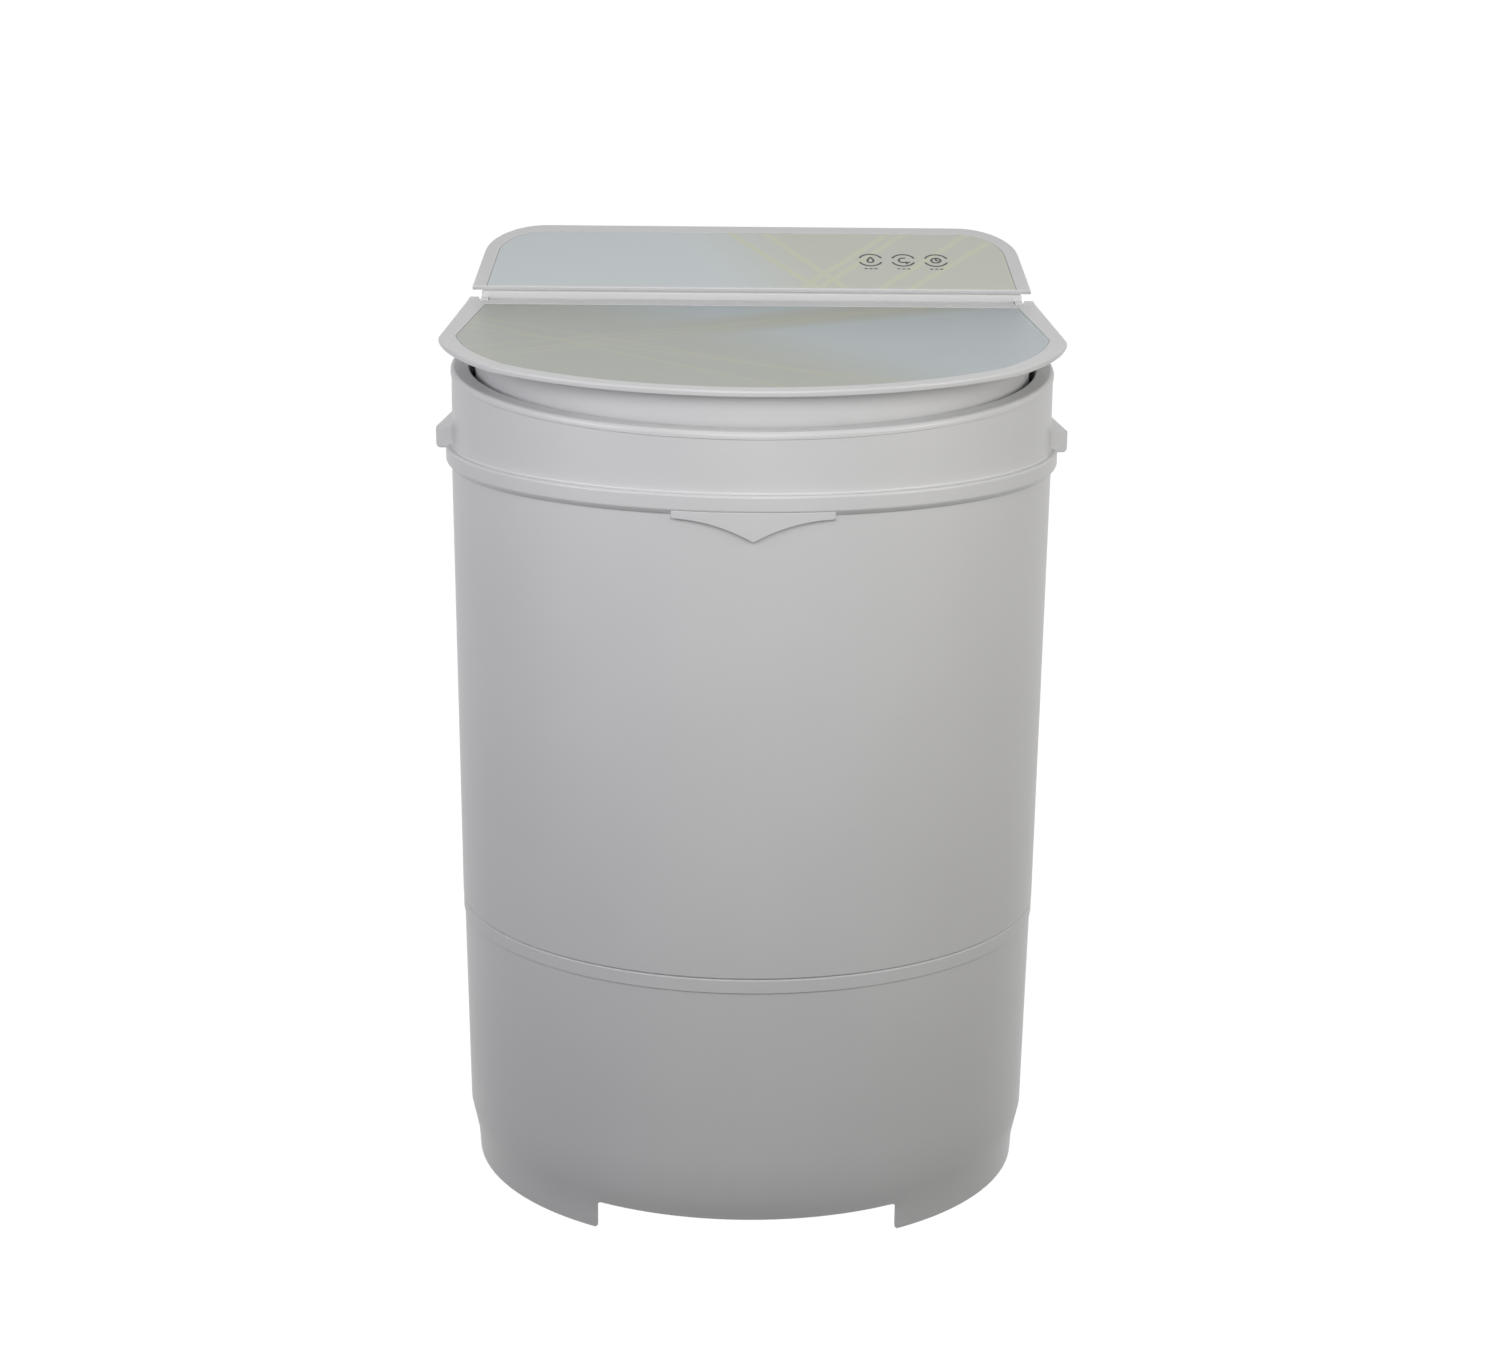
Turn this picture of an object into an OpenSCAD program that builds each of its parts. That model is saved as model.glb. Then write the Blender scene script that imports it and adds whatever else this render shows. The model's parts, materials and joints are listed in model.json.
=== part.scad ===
// Compact single-tub washing machine: a round cabinet on a round base, a tilted rim
// with a hinged lid, and a slanted touch panel behind the lid. Millimetres, +Z up,
// front towards -Y. The origin is on the floor under the middle of the tub.

/* [Cabinet shell] */
// Outside radius of the cabinet shell at its top edge
shell_top_r = 206.6; // [198:0.1:214]
// How much smaller that radius is at the seam with the base
shell_taper = 3.4; // [2:0.1:6]
// Wall of the cabinet shell
shell_wall = 2.5; // [1.8:0.1:3.2]
// Height of the seam between base and cabinet shell
seam_z = 194; // [180:1:215]
// Height of the cabinet shell from the seam to its top edge
shell_h = 309; // [290:1:330]

/* [Base] */
// How much the base narrows from the seam down to where it steps in
base_taper = 3.7; // [2:0.1:6]
// How much narrower the band that stands on the floor is
foot_step = 5; // [3:0.5:8]
// Wall of the base
base_wall = 3; // [2.4:0.1:4]
// Height of the narrow foot band
foot_band_z = 17; // [12:1:22]
// Height at which the base reaches its full radius
base_step_z = 40; // [34:1:50]
// Height of the raised band under the seam
seam_band_h = 9.5; // [6:0.5:14]
// Step of the raised band under the seam
seam_band_t = 0.8; // [0.4:0.1:1.5]
// Half angle of the toe cut-out in the foot band
notch_half_angle = 31.2; // [31.2:0.3:36]
// Radius of the toe cut-out's upper corners
notch_corner_r = 2.5; // [1:0.5:5]
// Radius of the wall's lower corners beside the toe cut-out
notch_foot_r = 3; // [1.5:0.5:5]
// Height of the toe cut-out
notch_h = 21.4; // [16:0.2:23]
// Height of the underside of the deck that carries the motor
deck_z = 25; // [24:0.5:30]
// Thickness of the deck
deck_t = 3; // [2.5:0.1:5]
// How far each rubber foot stands in from the foot band
foot_inset = 26.5; // [21:0.5:30]
// Radius of a rubber foot
foot_r = 14; // [11:0.5:16]
// How far the base wall stays above the floor
foot_proud = 1.5; // [1:0.1:3]

/* [Rim ring] */
// How far the rim ring's wall stands back from the cabinet shell
rim_step = 0.6; // [0.5:0.1:1.5]
// Wall of the rim ring
rim_wall = 3; // [2.4:0.1:3.4]
// Height of the rim's top face above the shell's top edge, over the middle of the tub
rim_rise = 67.4; // [60:0.2:80]
// Slope of the rim's top face, rear end up
rim_tilt = 4.4; // [3.8:0.1:5.5]
// How far the flange stands out over the cabinet shell
flange_over = 3.9; // [3.2:0.1:6]
// Height of the flange
flange_h = 13; // [12:0.5:18]
// Width of the rim's top face inside the ring's wall
rim_band = 12; // [10.5:0.1:13]
// Width of the pointed tab on the front of the flange
tab_w = 105; // [80:1:130]
// Drop of the pointed tab below the flange
tab_drop = 17; // [12:0.5:22]
// Drop of the tab's two ends below the flange
tab_end_drop = 3; // [2:0.5:5]
// How far the two carrying lugs stand out from the flange
lug_over = 5.6; // [4:0.1:8]
// Length of a carrying lug from front to back
lug_len = 72; // [50:1:80]
// Height of a carrying lug
lug_h = 15; // [11:0.5:18]

/* [Tub] */
// Room between the outside of the shell and the inside of the tub at the top
tub_room = 16.6; // [16:0.1:20]
// How much narrower the tub is at its floor
tub_taper = 22; // [16:0.5:28]
// Radius of the corner between the tub's wall and its floor
tub_corner_r = 20; // [12:0.5:22]
// Wall of the tub
tub_wall = 2.5; // [2:0.1:3]
// Height of the underside of the tub's floor
tub_floor_z = 158; // [156:0.5:168]
// Thickness of the tub's floor
tub_floor_t = 3.5; // [3:0.1:5]
// Thickness of the flange that hangs the tub on the cabinet shell
tub_flange_t = 3; // [2:0.1:4]
// Number of upright rubbing ribs round the tub
rub_ribs = 10; // [6:1:12]
// Thickness of the rubber seal between tub and rim ring
seal_t = 1.5; // [1:0.1:2.5]

/* [Lid] */
// Slope of the lid's top face, rear end up
lid_tilt = 3.9; // [3.4:0.1:4.4]
// Thickness of the lid's slab
lid_t = 4; // [3.4:0.1:5]
// How much larger the radius of the lid's curved front edge is than the shell's
lid_front_over = 38.4; // [30:0.2:50]
// How far the lid's front edge reaches past the mouth
lid_front_lap = 6; // [4:0.5:10]
// How far the lid stands out past the rim ring's wall at its widest
lid_side_lap = 6; // [4.5:0.1:8]
// How much the lid narrows on each side towards its rear corners
lid_taper = 8; // [6:0.5:9]
// How far the lid's front corners may reach past the rim ring's wall
lid_corner_lap = 9; // [8:0.1:11]
// Border of the lid round the printed panel
lid_border = 12; // [9:0.5:15]
// Distance from the hinge axis to the lid's printed panel
decor_margin = 18.7; // [14:0.1:28]
// Gap between the mouth and the skirt under the lid
skirt_gap = 4; // [3.5:0.5:6]
// Wall of the lid's skirt
skirt_wall = 2.5; // [2:0.1:3]
// Drop of the lid's skirt below the rim's top face
skirt_dip = 10.2; // [8:0.1:11]

/* [Lid hinge] */
// Distance from the hinge axis back to the mouth's rear edge
hinge_inset = 89.5; // [87:0.5:92]
// Height of the hinge axis above the sloping rim
hinge_rise = 17.8; // [16:0.1:20]
// Radius of the round rear edge of the lid
barrel_r = 3.6; // [3.2:0.1:4]
// Radius of a hinge pin
pin_r = 2; // [1.6:0.1:2.2]
// Running clearance round a hinge pin and round each shaft
run_gap = 0.05; // [0.03:0.01:0.08]

/* [Control housing] */
// Distance from the hinge axis back to the panel's front edge
panel_gap = 5.5; // [5.3:0.1:8]
// Height of the panel's front edge above the hinge axis
panel_rise = 11.9; // [11:0.1:13]
// Slope of the control panel, rear end up
panel_tilt = 23.5; // [20:0.5:27]
// How much narrower the panel is on each side than the lid's rear edge
panel_inset = 2.5; // [0.5:0.5:4]
// Length of the panel along its slope
panel_len = 92; // [80:0.5:96]
// Radius of the panel's rear corners
panel_corner_r = 44; // [35:0.5:48]
// Sideways distance from the panel's front corner to the centre of its rear corner
panel_corner_in = 49.5; // [46:0.5:54]
// Thickness of the panel's white frame
fascia_t = 3.4; // [3:0.1:4.5]
// How far the housing stands back under the panel's sides
housing_back = 6.5; // [5.5:0.5:8]
// White border of the panel on its sides and rear
panel_border = 10; // [7:0.5:12]
// White border of the panel along its front edge
panel_front_border = 1.2; // [1:0.1:3]
// Wall of the control housing
housing_wall = 2.5; // [2:0.1:3]
// Thickness of both printed panels
decor_t = 1.6; // [1.2:0.1:2]
// Spacing of the three touch keys
key_pitch = 24; // [20:0.5:26]
// Sideways distance from the panel's front corner to the middle touch key
key_inset = 90.5; // [87:0.5:100]
// Place of the touch keys up the slope of the panel
key_y = 43; // [38:0.5:52]

/* [Pulsator and drive] */
// Room between the pulsator and the tub's wall at the floor
pulsator_room = 26; // [22:0.5:36]
// Height of the pulsator's underside above the tub floor
pulsator_lift = 4.5; // [3:0.1:6]
// Number of curved vanes on the pulsator
vane_count = 6; // [4:1:8]
// Radius of the drive shaft
shaft_r = 6; // [5:0.1:6.5]
// Height of the middle of the drive belt
belt_z = 118; // [116:0.5:120]
// Pitch radius of the driven pulley
driven_pitch_r = 66; // [58:0.5:70]
// Pitch radius of the motor pulley
motor_pitch_r = 14; // [11:0.5:16]
// Distance from the motor shaft out to the outside of the foot band
motor_inset = 76.5; // [74:0.5:80]
// Radius of the motor can
motor_r = 52; // [44:0.5:54]
// Radius of the motor shaft
motor_shaft_r = 4; // [3.5:0.1:4.5]
// Half width of the belt at its pitch line
belt_half_w = 3.75; // [3.2:0.05:4.2]
// Height of the rubber mounts under the motor
grommet_h = 8; // [6:0.5:10]

/* [Water outlet and wiring] */
// Direction of the tub's drain and the outlet, from the +X axis
drain_angle = 135; // [128:1:142]
// Distance from the tub's drain out to the tub's wall at the floor
drain_inset = 43; // [40:0.5:52]
// Bore radius of the tub's drain spout
spout_r = 13; // [10:0.5:14]
// Height of the drain outlet above the floor
outlet_z = 62; // [58:0.5:70]
// Outside radius of the spigot for the drain hose
outlet_r = 11; // [9:0.1:12]
// Length of the spigot for the drain hose
outlet_len = 24; // [18:0.5:25]
// Direction of the cord gland and the mains lead, from the +X axis
gland_angle = 55; // [50:1:58]
// Radius of the leads inside the machine
lead_r = 2.5; // [2:0.1:2.6]
// Distance from the run capacitor out to the outside of the foot band
capacitor_inset = 66.5; // [62:0.5:71]
// Radius of the run capacitor
capacitor_r = 20; // [16:0.5:24]
// Height of the run capacitor
capacitor_h = 58; // [45:1:70]

/* [Hidden] */

// Facets of large and small round shapes
round_big = 128;
round_small = 40;
// Gap left between seated pieces, and a little overlap that joins shapes of one piece
seat_gap = 0.3;
bite = 0.5;
// More than any size here, for cutting blocks
far = 900;

shell_top_z = seam_z + shell_h;
shell_foot_r = shell_top_r - shell_taper;
base_foot_r = shell_foot_r - base_taper;
foot_band_r = base_foot_r - foot_step;
foot_pos_r = foot_band_r - foot_inset;
spigot_r = shell_foot_r - shell_wall - seat_gap;
spigot_t = 2.5;
spigot_h = 10;
base_top_r = shell_foot_r - 0.2;
base_slope = (base_top_r - base_foot_r) / (seam_z - base_step_z);
foot_low_r = foot_band_r - 1;
ledge_in_r = foot_band_r - 9;
ledge_t = 3;
deck_top = deck_z + deck_t;
deck_r = foot_band_r - base_wall + foot_step * (deck_z - foot_band_z) / (base_step_z - foot_band_z)
    - seat_gap;
deck_screw_r = (ledge_in_r + deck_r) / 2;
deck_screw_angles = [20, 160, 200, 340];
deck_rib_t = 2.5;
deck_rib_in = 36;
deck_rib_z = deck_z - 13;
slot_in = 40;
slot_len = 22;
slot_w = 4;
socket_h = 12;
foot_pad_h = 5;
foot_stem_r = 0.64 * foot_r;
socket_wall = 4;

tub_top_r = shell_top_r - tub_room;
tub_floor_r = tub_top_r - tub_taper;
rib_r = 3.5;
tub_seat_z = shell_top_z + tub_flange_t;
ring_seat_z = tub_seat_z + seal_t;
tub_floor_top = tub_floor_z + tub_floor_t;
rim_r = shell_top_r - rim_step;
rim_z = shell_top_z + rim_rise;
mouth_r = rim_r - rim_band;
flange_r = shell_top_r + flange_over;
lug_reach = flange_r + lug_over;
rim_inner_r = rim_r - rim_wall;
rim_cap_t = 5;
bead_over = 1.3;
lip_t = 2.2;
lip_drop = 13;
ledge_r = mouth_r - 7.5;
flange_z = shell_top_z - 1;
flange_top_z = flange_z + flange_h;
skirt_room = 1;
flange_in_r = shell_top_r + skirt_room;
lug_z = flange_z + 10.5;

skirt_r = mouth_r - skirt_gap;
hinge_y = mouth_r - hinge_inset;
hinge_z = rim_z + hinge_y * tan(rim_tilt) + hinge_rise;
panel_y = hinge_y + panel_gap;
panel_z = hinge_z + panel_rise;
lid_axis_y = hinge_y / cos(lid_tilt);
lid_front_r = shell_top_r + lid_front_over;
lid_front_y = mouth_r + lid_front_lap;
lid_half_w = rim_r + lid_side_lap;
lid_rear_half_w = lid_half_w - lid_taper;
lid_corner_r = rim_r + lid_corner_lap;
lid_widest_y = -35;
decor_rear_y = lid_axis_y - decor_margin;
decor_dip = 0.2;
decor_gap = 0.2;
skirt_back_y = hinge_y - 16.5;
lid_rear_corner_y = lid_axis_y + 9;
ear_t = 5.5;
ear_side_gap = 0.5;
panel_half_w = lid_rear_half_w - panel_inset;
panel_corner_x = panel_half_w - panel_corner_in;
housing_half_w = panel_half_w - housing_back;
ear_out_x = housing_half_w;
ear_in_x = ear_out_x - ear_t;
ear_r = 4.4;
pin_inner = 11.5;
pin_outer = 4.5;

housing_corner_r = panel_corner_r - housing_back - 3;
housing_rear_y = panel_y + panel_len * cos(panel_tilt) - 7;
housing_corner_y = housing_rear_y - housing_corner_r;
housing_corner_x = panel_corner_x - 4;
housing_screw_angles = [38, 60, 120, 142];
housing_screw_r = (mouth_r + lip_t + rim_inner_r) / 2;
key_x = panel_half_w - key_inset;
board_w = 96;
board_d = 34;
board_z = 12;
board_t = 1.6;
board_x = key_x - 8;

pulsator_r = tub_floor_r - pulsator_room;
pulsator_z = tub_floor_top + pulsator_lift;
dome_sphere_r = 500;
dome_t = 3;
dome_rim_z = pulsator_z + 4;
dome_c = dome_rim_z - sqrt(dome_sphere_r * dome_sphere_r - pulsator_r * pulsator_r);
hump_r = 60;
hump_c = dome_c + dome_sphere_r - 40;
hub_r = 17;
hub_bore_r = shaft_r - 1;
cap_r = 13;
neck_r = 14;
neck_bore_r = shaft_r + 3;
neck_top = tub_floor_z + 23;
hub_z = neck_top + 2;
hub_floor = hub_z + 15;
bearing_tube_r = 18;
bearing_flange_r = 42;
bearing_flange_t = 5;
bearing_z = tub_floor_z - 30;
bearing_bolt_r = 33;
screw_hole_r = 2.2;
bush_h = 14;

belt_half_h = 3;
belt_slope = 0.25;
groove_gap = 0.35;
pulley_rim_over = belt_half_h + 0.5;
pulley_h = 15;
pulley_z = belt_z - pulley_h / 2;
driven_out_r = driven_pitch_r + pulley_rim_over;
motor_out_r = motor_pitch_r + pulley_rim_over;
nut_h = 7;

belt_centres = foot_band_r - motor_inset;
motor_x = belt_centres;
motor_z = deck_top + grommet_h;
motor_plate_t = 3;
motor_bolt_r = motor_r + 8;
bolt_r = 2.9;
can_wall = 2;
can_top = pulley_z - 15;
cap_t = 3;
end_cap_top = can_top + cap_t;
bearing_r = 9;
bearing_h = 7;
stator_bore_r = 0.56 * motor_r;
rotor_r = stator_bore_r - 0.8;
stator_z = motor_z + 12;
stator_h = can_top - 12 - stator_z;

drain_r = tub_floor_r - drain_inset;
outlet_wall_r = base_foot_r + base_slope * (outlet_z - base_step_z);
gland_r = outlet_wall_r;
hose_wall = 2.4;
hose_bore = spout_r + 2 + 0.15;
hose_r = hose_bore + hose_wall;
hose_bend = 30;
spout_end_z = tub_floor_z - 24;
outlet_tail = outlet_wall_r - drain_r - hose_bend;
gland_z = outlet_z + 10;
lead_top_r = tub_top_r + tub_wall + lead_r + 1.5;
lead_low_r = lead_top_r - 14;
lead_low_z = gland_z + 12;
lead_high_z = rim_z + 22;
lead_gap = 0.6;
motor_lead_angle = gland_angle + 9;
capacitor_pos_r = foot_band_r - capacitor_inset;
capacitor_angle = 215;

// Ways to place shapes
module polar(radius, angle) rotate([0, 0, angle]) translate([radius, 0, 0]) children();
module around(count, radius, start = 0)
    for (i = [0:count - 1]) polar(radius, start + i * 360 / count) children();
module both_sides() {
    children();
    mirror([1, 0, 0]) children();
}
module in_rim_frame() translate([0, 0, rim_z]) rotate([rim_tilt, 0, 0]) children();
module in_lid_frame()
    translate([0, hinge_y, hinge_z]) rotate([lid_tilt, 0, 0])
        translate([0, -lid_axis_y, barrel_r]) children();
module in_panel_frame() translate([0, panel_y, panel_z]) rotate([panel_tilt, 0, 0]) children();
module pointing(angle, height)
    translate([0, 0, height]) rotate([0, 0, angle]) rotate([0, 90, 0]) children();

// A pipe along Z
module pipe(r_out, r_in, h)
    difference() {
        cylinder(r = r_out, h = h);
        translate([0, 0, -1]) cylinder(r = r_in, h = h + 2);
    }

// A straight round bar between two points
module bar(p, q, r) {
    d = q - p;
    translate(p) rotate([0, acos(d[2] / norm(d)), atan2(d[1], d[0])]) cylinder(r = r, h = norm(d));
}

// A round lead through a list of points, with a slightly thicker knuckle at each bend
module lead(points, r) {
    for (i = [0:len(points) - 2]) bar(points[i], points[i + 1], r);
    for (i = [1:len(points) - 2]) translate(points[i]) sphere(r = 1.12 * r);
}

// A section with rounded top corners
module capped_section(x0, x1, y0, y1, r_in, r_out) {
    translate([x0, y0]) square([x1 - x0, y1 - y0 - max(r_in, r_out)]);
    translate([x0 + r_in, y0]) square([x1 - x0 - r_in - r_out, y1 - y0]);
    translate([x0 + r_in, y1 - r_in]) circle(r = r_in);
    translate([x1 - r_out, y1 - r_out]) circle(r = r_out);
    translate([x0, y0]) square([r_in, y1 - y0 - r_in]);
    translate([x1 - r_out, y0]) square([r_out, y1 - y0 - r_out]);
}

// Radius of the tub's inside wall at a height
function tub_r(z) = tub_floor_r + (tub_top_r - tub_floor_r) * (z - tub_floor_top - tub_corner_r)
    / (tub_seat_z - tub_floor_top - tub_corner_r);

module base_section() {
    inner_top = spigot_r - spigot_t;
    polygon([
        [foot_low_r, foot_proud],
        [foot_band_r, foot_band_z],
        [base_foot_r, base_step_z],
        [base_top_r - seam_band_t, seam_z - seam_band_h],
        [base_top_r, seam_z - seam_band_h],
        [base_top_r, seam_z - 1.2],
        [base_top_r - 1.2, seam_z],
        [spigot_r, seam_z],
        [spigot_r, seam_z + spigot_h],
        [inner_top, seam_z + spigot_h],
        [inner_top, seam_z - seam_band_h],
        [base_foot_r - base_wall, base_step_z],
        [foot_band_r - base_wall, foot_band_z],
        [foot_low_r - base_wall, foot_proud]]);
}

// Opening low in the front and rear wall, with round upper corners
module toe_cut() {
    half_w = foot_band_r * sin(notch_half_angle);
    straight_w = half_w - notch_corner_r;
    inner_y = foot_band_r * cos(notch_half_angle) - 3 * base_wall;
    translate([0, -inner_y, 0]) rotate([90, 0, 0]) linear_extrude(far) {
        translate([-half_w, -1]) square([2 * half_w, notch_h - notch_corner_r + 1]);
        translate([-straight_w, -1]) square([2 * straight_w, notch_h + 1]);
        for (x = [-straight_w, straight_w])
            translate([x, notch_h - notch_corner_r]) circle(r = notch_corner_r, $fn = round_small);
        for (side = [-1, 1]) difference() {
            translate([side * (half_w + notch_foot_r / 2) - notch_foot_r / 2 - 1, -1])
                square([notch_foot_r + 2, foot_proud + notch_foot_r + 1]);
            translate([side * (half_w + notch_foot_r), foot_proud + notch_foot_r])
                circle(r = notch_foot_r + 0.05, $fn = round_small);
        }
    }
}

// Holes for the screws that hold the deck on the ledge inside the base
module deck_screw_holes(r)
    for (a = deck_screw_angles)
        polar(deck_screw_r, a) cylinder(r = r, h = deck_top + 1, $fn = round_small);

module base_shell() {
    color("gainsboro")
    difference() {
        union() {
            rotate_extrude($fn = round_big) base_section();
            // Ledge that the deck rests on
            rotate_extrude($fn = round_big)
                translate([ledge_in_r, deck_z - ledge_t])
                    square([foot_band_r - base_wall / 2 - ledge_in_r, ledge_t]);
        }
        toe_cut();
        rotate([0, 0, 180]) toe_cut();
        deck_screw_holes(1.7);
        // Holes for the drain outlet and the cord gland
        pointing(drain_angle, outlet_z) translate([0, 0, base_foot_r - 30])
            cylinder(r = outlet_r + 3.2, h = 60, $fn = round_small);
        pointing(gland_angle, gland_z) translate([0, 0, base_foot_r - 30])
            cylinder(r = 8.2, h = 60, $fn = round_small);
    }
}

// Deck that carries the motor, with ribs and foot sockets underneath
module base_deck() {
    rib_h = deck_z - deck_rib_z + bite;
    color("silver")
    difference() {
        union() {
            translate([0, 0, deck_z]) cylinder(r = deck_r, h = deck_t, $fn = round_big);
            around(8, deck_rib_in, 22.5)
                translate([0, -deck_rib_t / 2, deck_rib_z])
                    cube([foot_pos_r - foot_r - deck_rib_in, deck_rib_t, rib_h]);
            around(4, deck_rib_in, 45)
                translate([0, -deck_rib_t / 2, deck_rib_z])
                    cube([ledge_in_r - seat_gap - deck_rib_in, deck_rib_t, rib_h]);
            around(4, foot_pos_r, 45)
                translate([0, 0, foot_pad_h])
                    cylinder(r = foot_stem_r + socket_wall, h = deck_z + bite - foot_pad_h,
                        $fn = round_small);
            polar(capacitor_pos_r, capacitor_angle)
                translate([0, 0, deck_top - bite])
                    cylinder(r = capacitor_r + base_wall, h = socket_h + bite, $fn = round_small);
        }
        around(4, foot_pos_r, 45)
            translate([0, 0, foot_pad_h - 1])
                cylinder(r = foot_stem_r + 0.1, h = deck_z - foot_pad_h - 1, $fn = round_small);
        polar(capacitor_pos_r, capacitor_angle)
            translate([0, 0, deck_top]) cylinder(r = capacitor_r + seat_gap, h = far, $fn = round_small);
        translate([motor_x, 0, 0]) around(4, motor_bolt_r, 45)
            cylinder(r = bolt_r + 0.2, h = deck_top + 1, $fn = round_small);
        deck_screw_holes(1.9);
        // Cooling slots in the deck
        around(16, slot_in) translate([0, -slot_w / 2, 0]) cube([slot_len, slot_w, deck_top + 1]);
        cylinder(r = slot_in / 2, h = deck_top + 1, $fn = round_small);
    }
}

module deck_screws()
    color("silver")
    for (a = deck_screw_angles)
        polar(deck_screw_r, a) {
            translate([0, 0, deck_top]) cylinder(r = 3, h = 2.2, $fn = round_small);
            translate([0, 0, deck_z - ledge_t - 2]) cylinder(r = 1.6, h = deck_t + ledge_t + 2 + bite, $fn = round_small);
        }

module rubber_feet()
    color("dimgray")
    around(4, foot_pos_r, 45) {
        translate([0, 0, 1]) cylinder(r = foot_r, h = foot_pad_h - 1, $fn = round_small);
        cylinder(r = foot_r - 1, h = 1 + bite, $fn = round_small);
        translate([0, 0, foot_pad_h - bite]) cylinder(r = foot_stem_r, h = 12, $fn = round_small);
    }

module body_shell()
    color("whitesmoke")
    rotate_extrude($fn = round_big)
        polygon([
            [shell_foot_r, seam_z],
            [shell_top_r, shell_top_z],
            [shell_top_r - shell_wall, shell_top_z],
            [shell_foot_r - shell_wall, seam_z]]);

// Half section of a cup with a round corner, grown outwards by a wall
module cup_section(grow, floor_z, top_z) {
    corner = tub_corner_r + grow;
    low_r = tub_floor_r + grow;
    corner_z = tub_floor_top + tub_corner_r;
    polygon([
        [0, floor_z],
        [tub_floor_r - tub_corner_r, floor_z],
        [tub_floor_r - tub_corner_r, corner_z],
        [low_r, corner_z],
        [tub_top_r + grow, tub_seat_z],
        [tub_top_r + grow, top_z],
        [0, top_z]]);
    intersection() {
        translate([tub_floor_r - tub_corner_r, corner_z]) circle(r = corner, $fn = round_small);
        translate([0, floor_z]) square([low_r + 1, top_z - floor_z]);
    }
}

// Holes that let the two vertical leads pass
module lead_line(angle, r)
    rotate([0, 0, angle])
        bar([lead_low_r, 0, lead_low_z], [lead_at(lead_high_z), 0, lead_high_z], r);
function lead_at(z) = lead_low_r + (lead_top_r - lead_low_r) * (z - lead_low_z)
    / (shell_top_z - lead_low_z);

module wash_tub() {
    rib_low = tub_floor_top + tub_corner_r + 30;
    rib_high = tub_seat_z - 60;
    boss_r = neck_r + 7;
    color("white")
    difference() {
        union() {
            rotate_extrude($fn = round_big)
                difference() {
                    union() {
                        cup_section(tub_wall, tub_floor_z, tub_seat_z);
                        translate([0, shell_top_z]) square([rim_r + 0.4, tub_flange_t]);
                    }
                    cup_section(0, tub_floor_top, tub_seat_z + 5);
                }
            translate([0, 0, tub_floor_z]) cylinder(r = boss_r, h = 20, $fn = round_small);
            for (i = [0:rub_ribs - 1])
                if (abs(i * 360 / rub_ribs - 90) > 20)
                    rotate([0, 0, i * 360 / rub_ribs])
                        bar([tub_r(rib_low), 0, rib_low], [tub_r(rib_high), 0, rib_high], rib_r,
                            $fn = round_small);
            polar(drain_r, drain_angle)
                translate([0, 0, spout_end_z])
                    cylinder(r = spout_r + 2, h = tub_floor_z - spout_end_z + bite, $fn = round_small);
        }
        translate([0, 0, tub_floor_z - 1]) cylinder(r = neck_r + 0.1, h = far, $fn = round_small);
        around(4, bearing_bolt_r, 45)
            translate([0, 0, tub_floor_z - 1]) cylinder(r = screw_hole_r, h = far, $fn = round_small);
        polar(drain_r, drain_angle)
            translate([0, 0, spout_end_z - 1]) cylinder(r = spout_r, h = far, $fn = round_small);
        // The leads pass through the tub's flange
        for (a = [gland_angle, motor_lead_angle]) lead_line(a, lead_r + lead_gap);
    }
}

module rim_seal()
    color("dimgray")
    translate([0, 0, tub_seat_z]) pipe(rim_r - 0.3, rim_inner_r + 0.3, seal_t, $fn = round_big);

// Wall of the ring
module ring_section()
    translate([rim_inner_r, ring_seat_z]) square([rim_wall, 2 * rim_rise]);

// Flange over the shell, left long enough to hold the pointed tab
module flange_section() {
    edge_r = 1.8;
    low = flange_z - tab_drop - 5;
    translate([flange_in_r, low]) square([flange_r - flange_in_r, flange_top_z - edge_r - low]);
    translate([rim_r - bite, flange_top_z - 3]) square([flange_r - edge_r - rim_r + bite, 3]);
    translate([flange_r - edge_r, flange_top_z - edge_r]) circle(r = edge_r, $fn = round_small);
}

// What is cut away below the flange, with a chamfer along its lower edge
module below_flange() {
    chamfer = 3;
    edge_x = flange_in_r + 0.6;
    slope = chamfer / (flange_r - edge_x);
    polygon([
        [rim_r, flange_z - 60],
        [flange_r + 6, flange_z - 60],
        [flange_r + 6, flange_z + (flange_r + 6 - edge_x) * slope],
        [edge_x, flange_z],
        [rim_r, flange_z]]);
}

module tab_outline() {
    half = tab_w / 2;
    fall = tab_drop - tab_end_drop;
    hollow_r = (half * half + fall * fall) / (2 * fall);
    difference() {
        polygon([
            [-half, 2 * fall],
            [-half, -tab_end_drop],
            [0, -tab_drop],
            [half, -tab_end_drop],
            [half, 2 * fall]]);
        // Two hollow arcs, level at the tab's ends, that meet in its point
        for (x = [-half, half])
            translate([x, -tab_end_drop - hollow_r]) circle(r = hollow_r, $fn = 2 * round_big);
    }
}

module carrying_lug() {
    lug_in = rim_r - 2;
    corner = 3;
    front_y = -22;
    toe_in = 3.8;
    translate([lug_reach, front_y, lug_z]) rotate([0, 0, toe_in]) rotate([-90, 0, 0])
        linear_extrude(lug_len) mirror([0, 1]) {
            translate([lug_in - lug_reach, 0]) square([lug_reach - lug_in - corner, lug_h]);
            translate([-corner, corner]) square([corner, lug_h - corner]);
            translate([-corner, corner]) circle(r = corner, $fn = round_small);
        }
}

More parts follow.
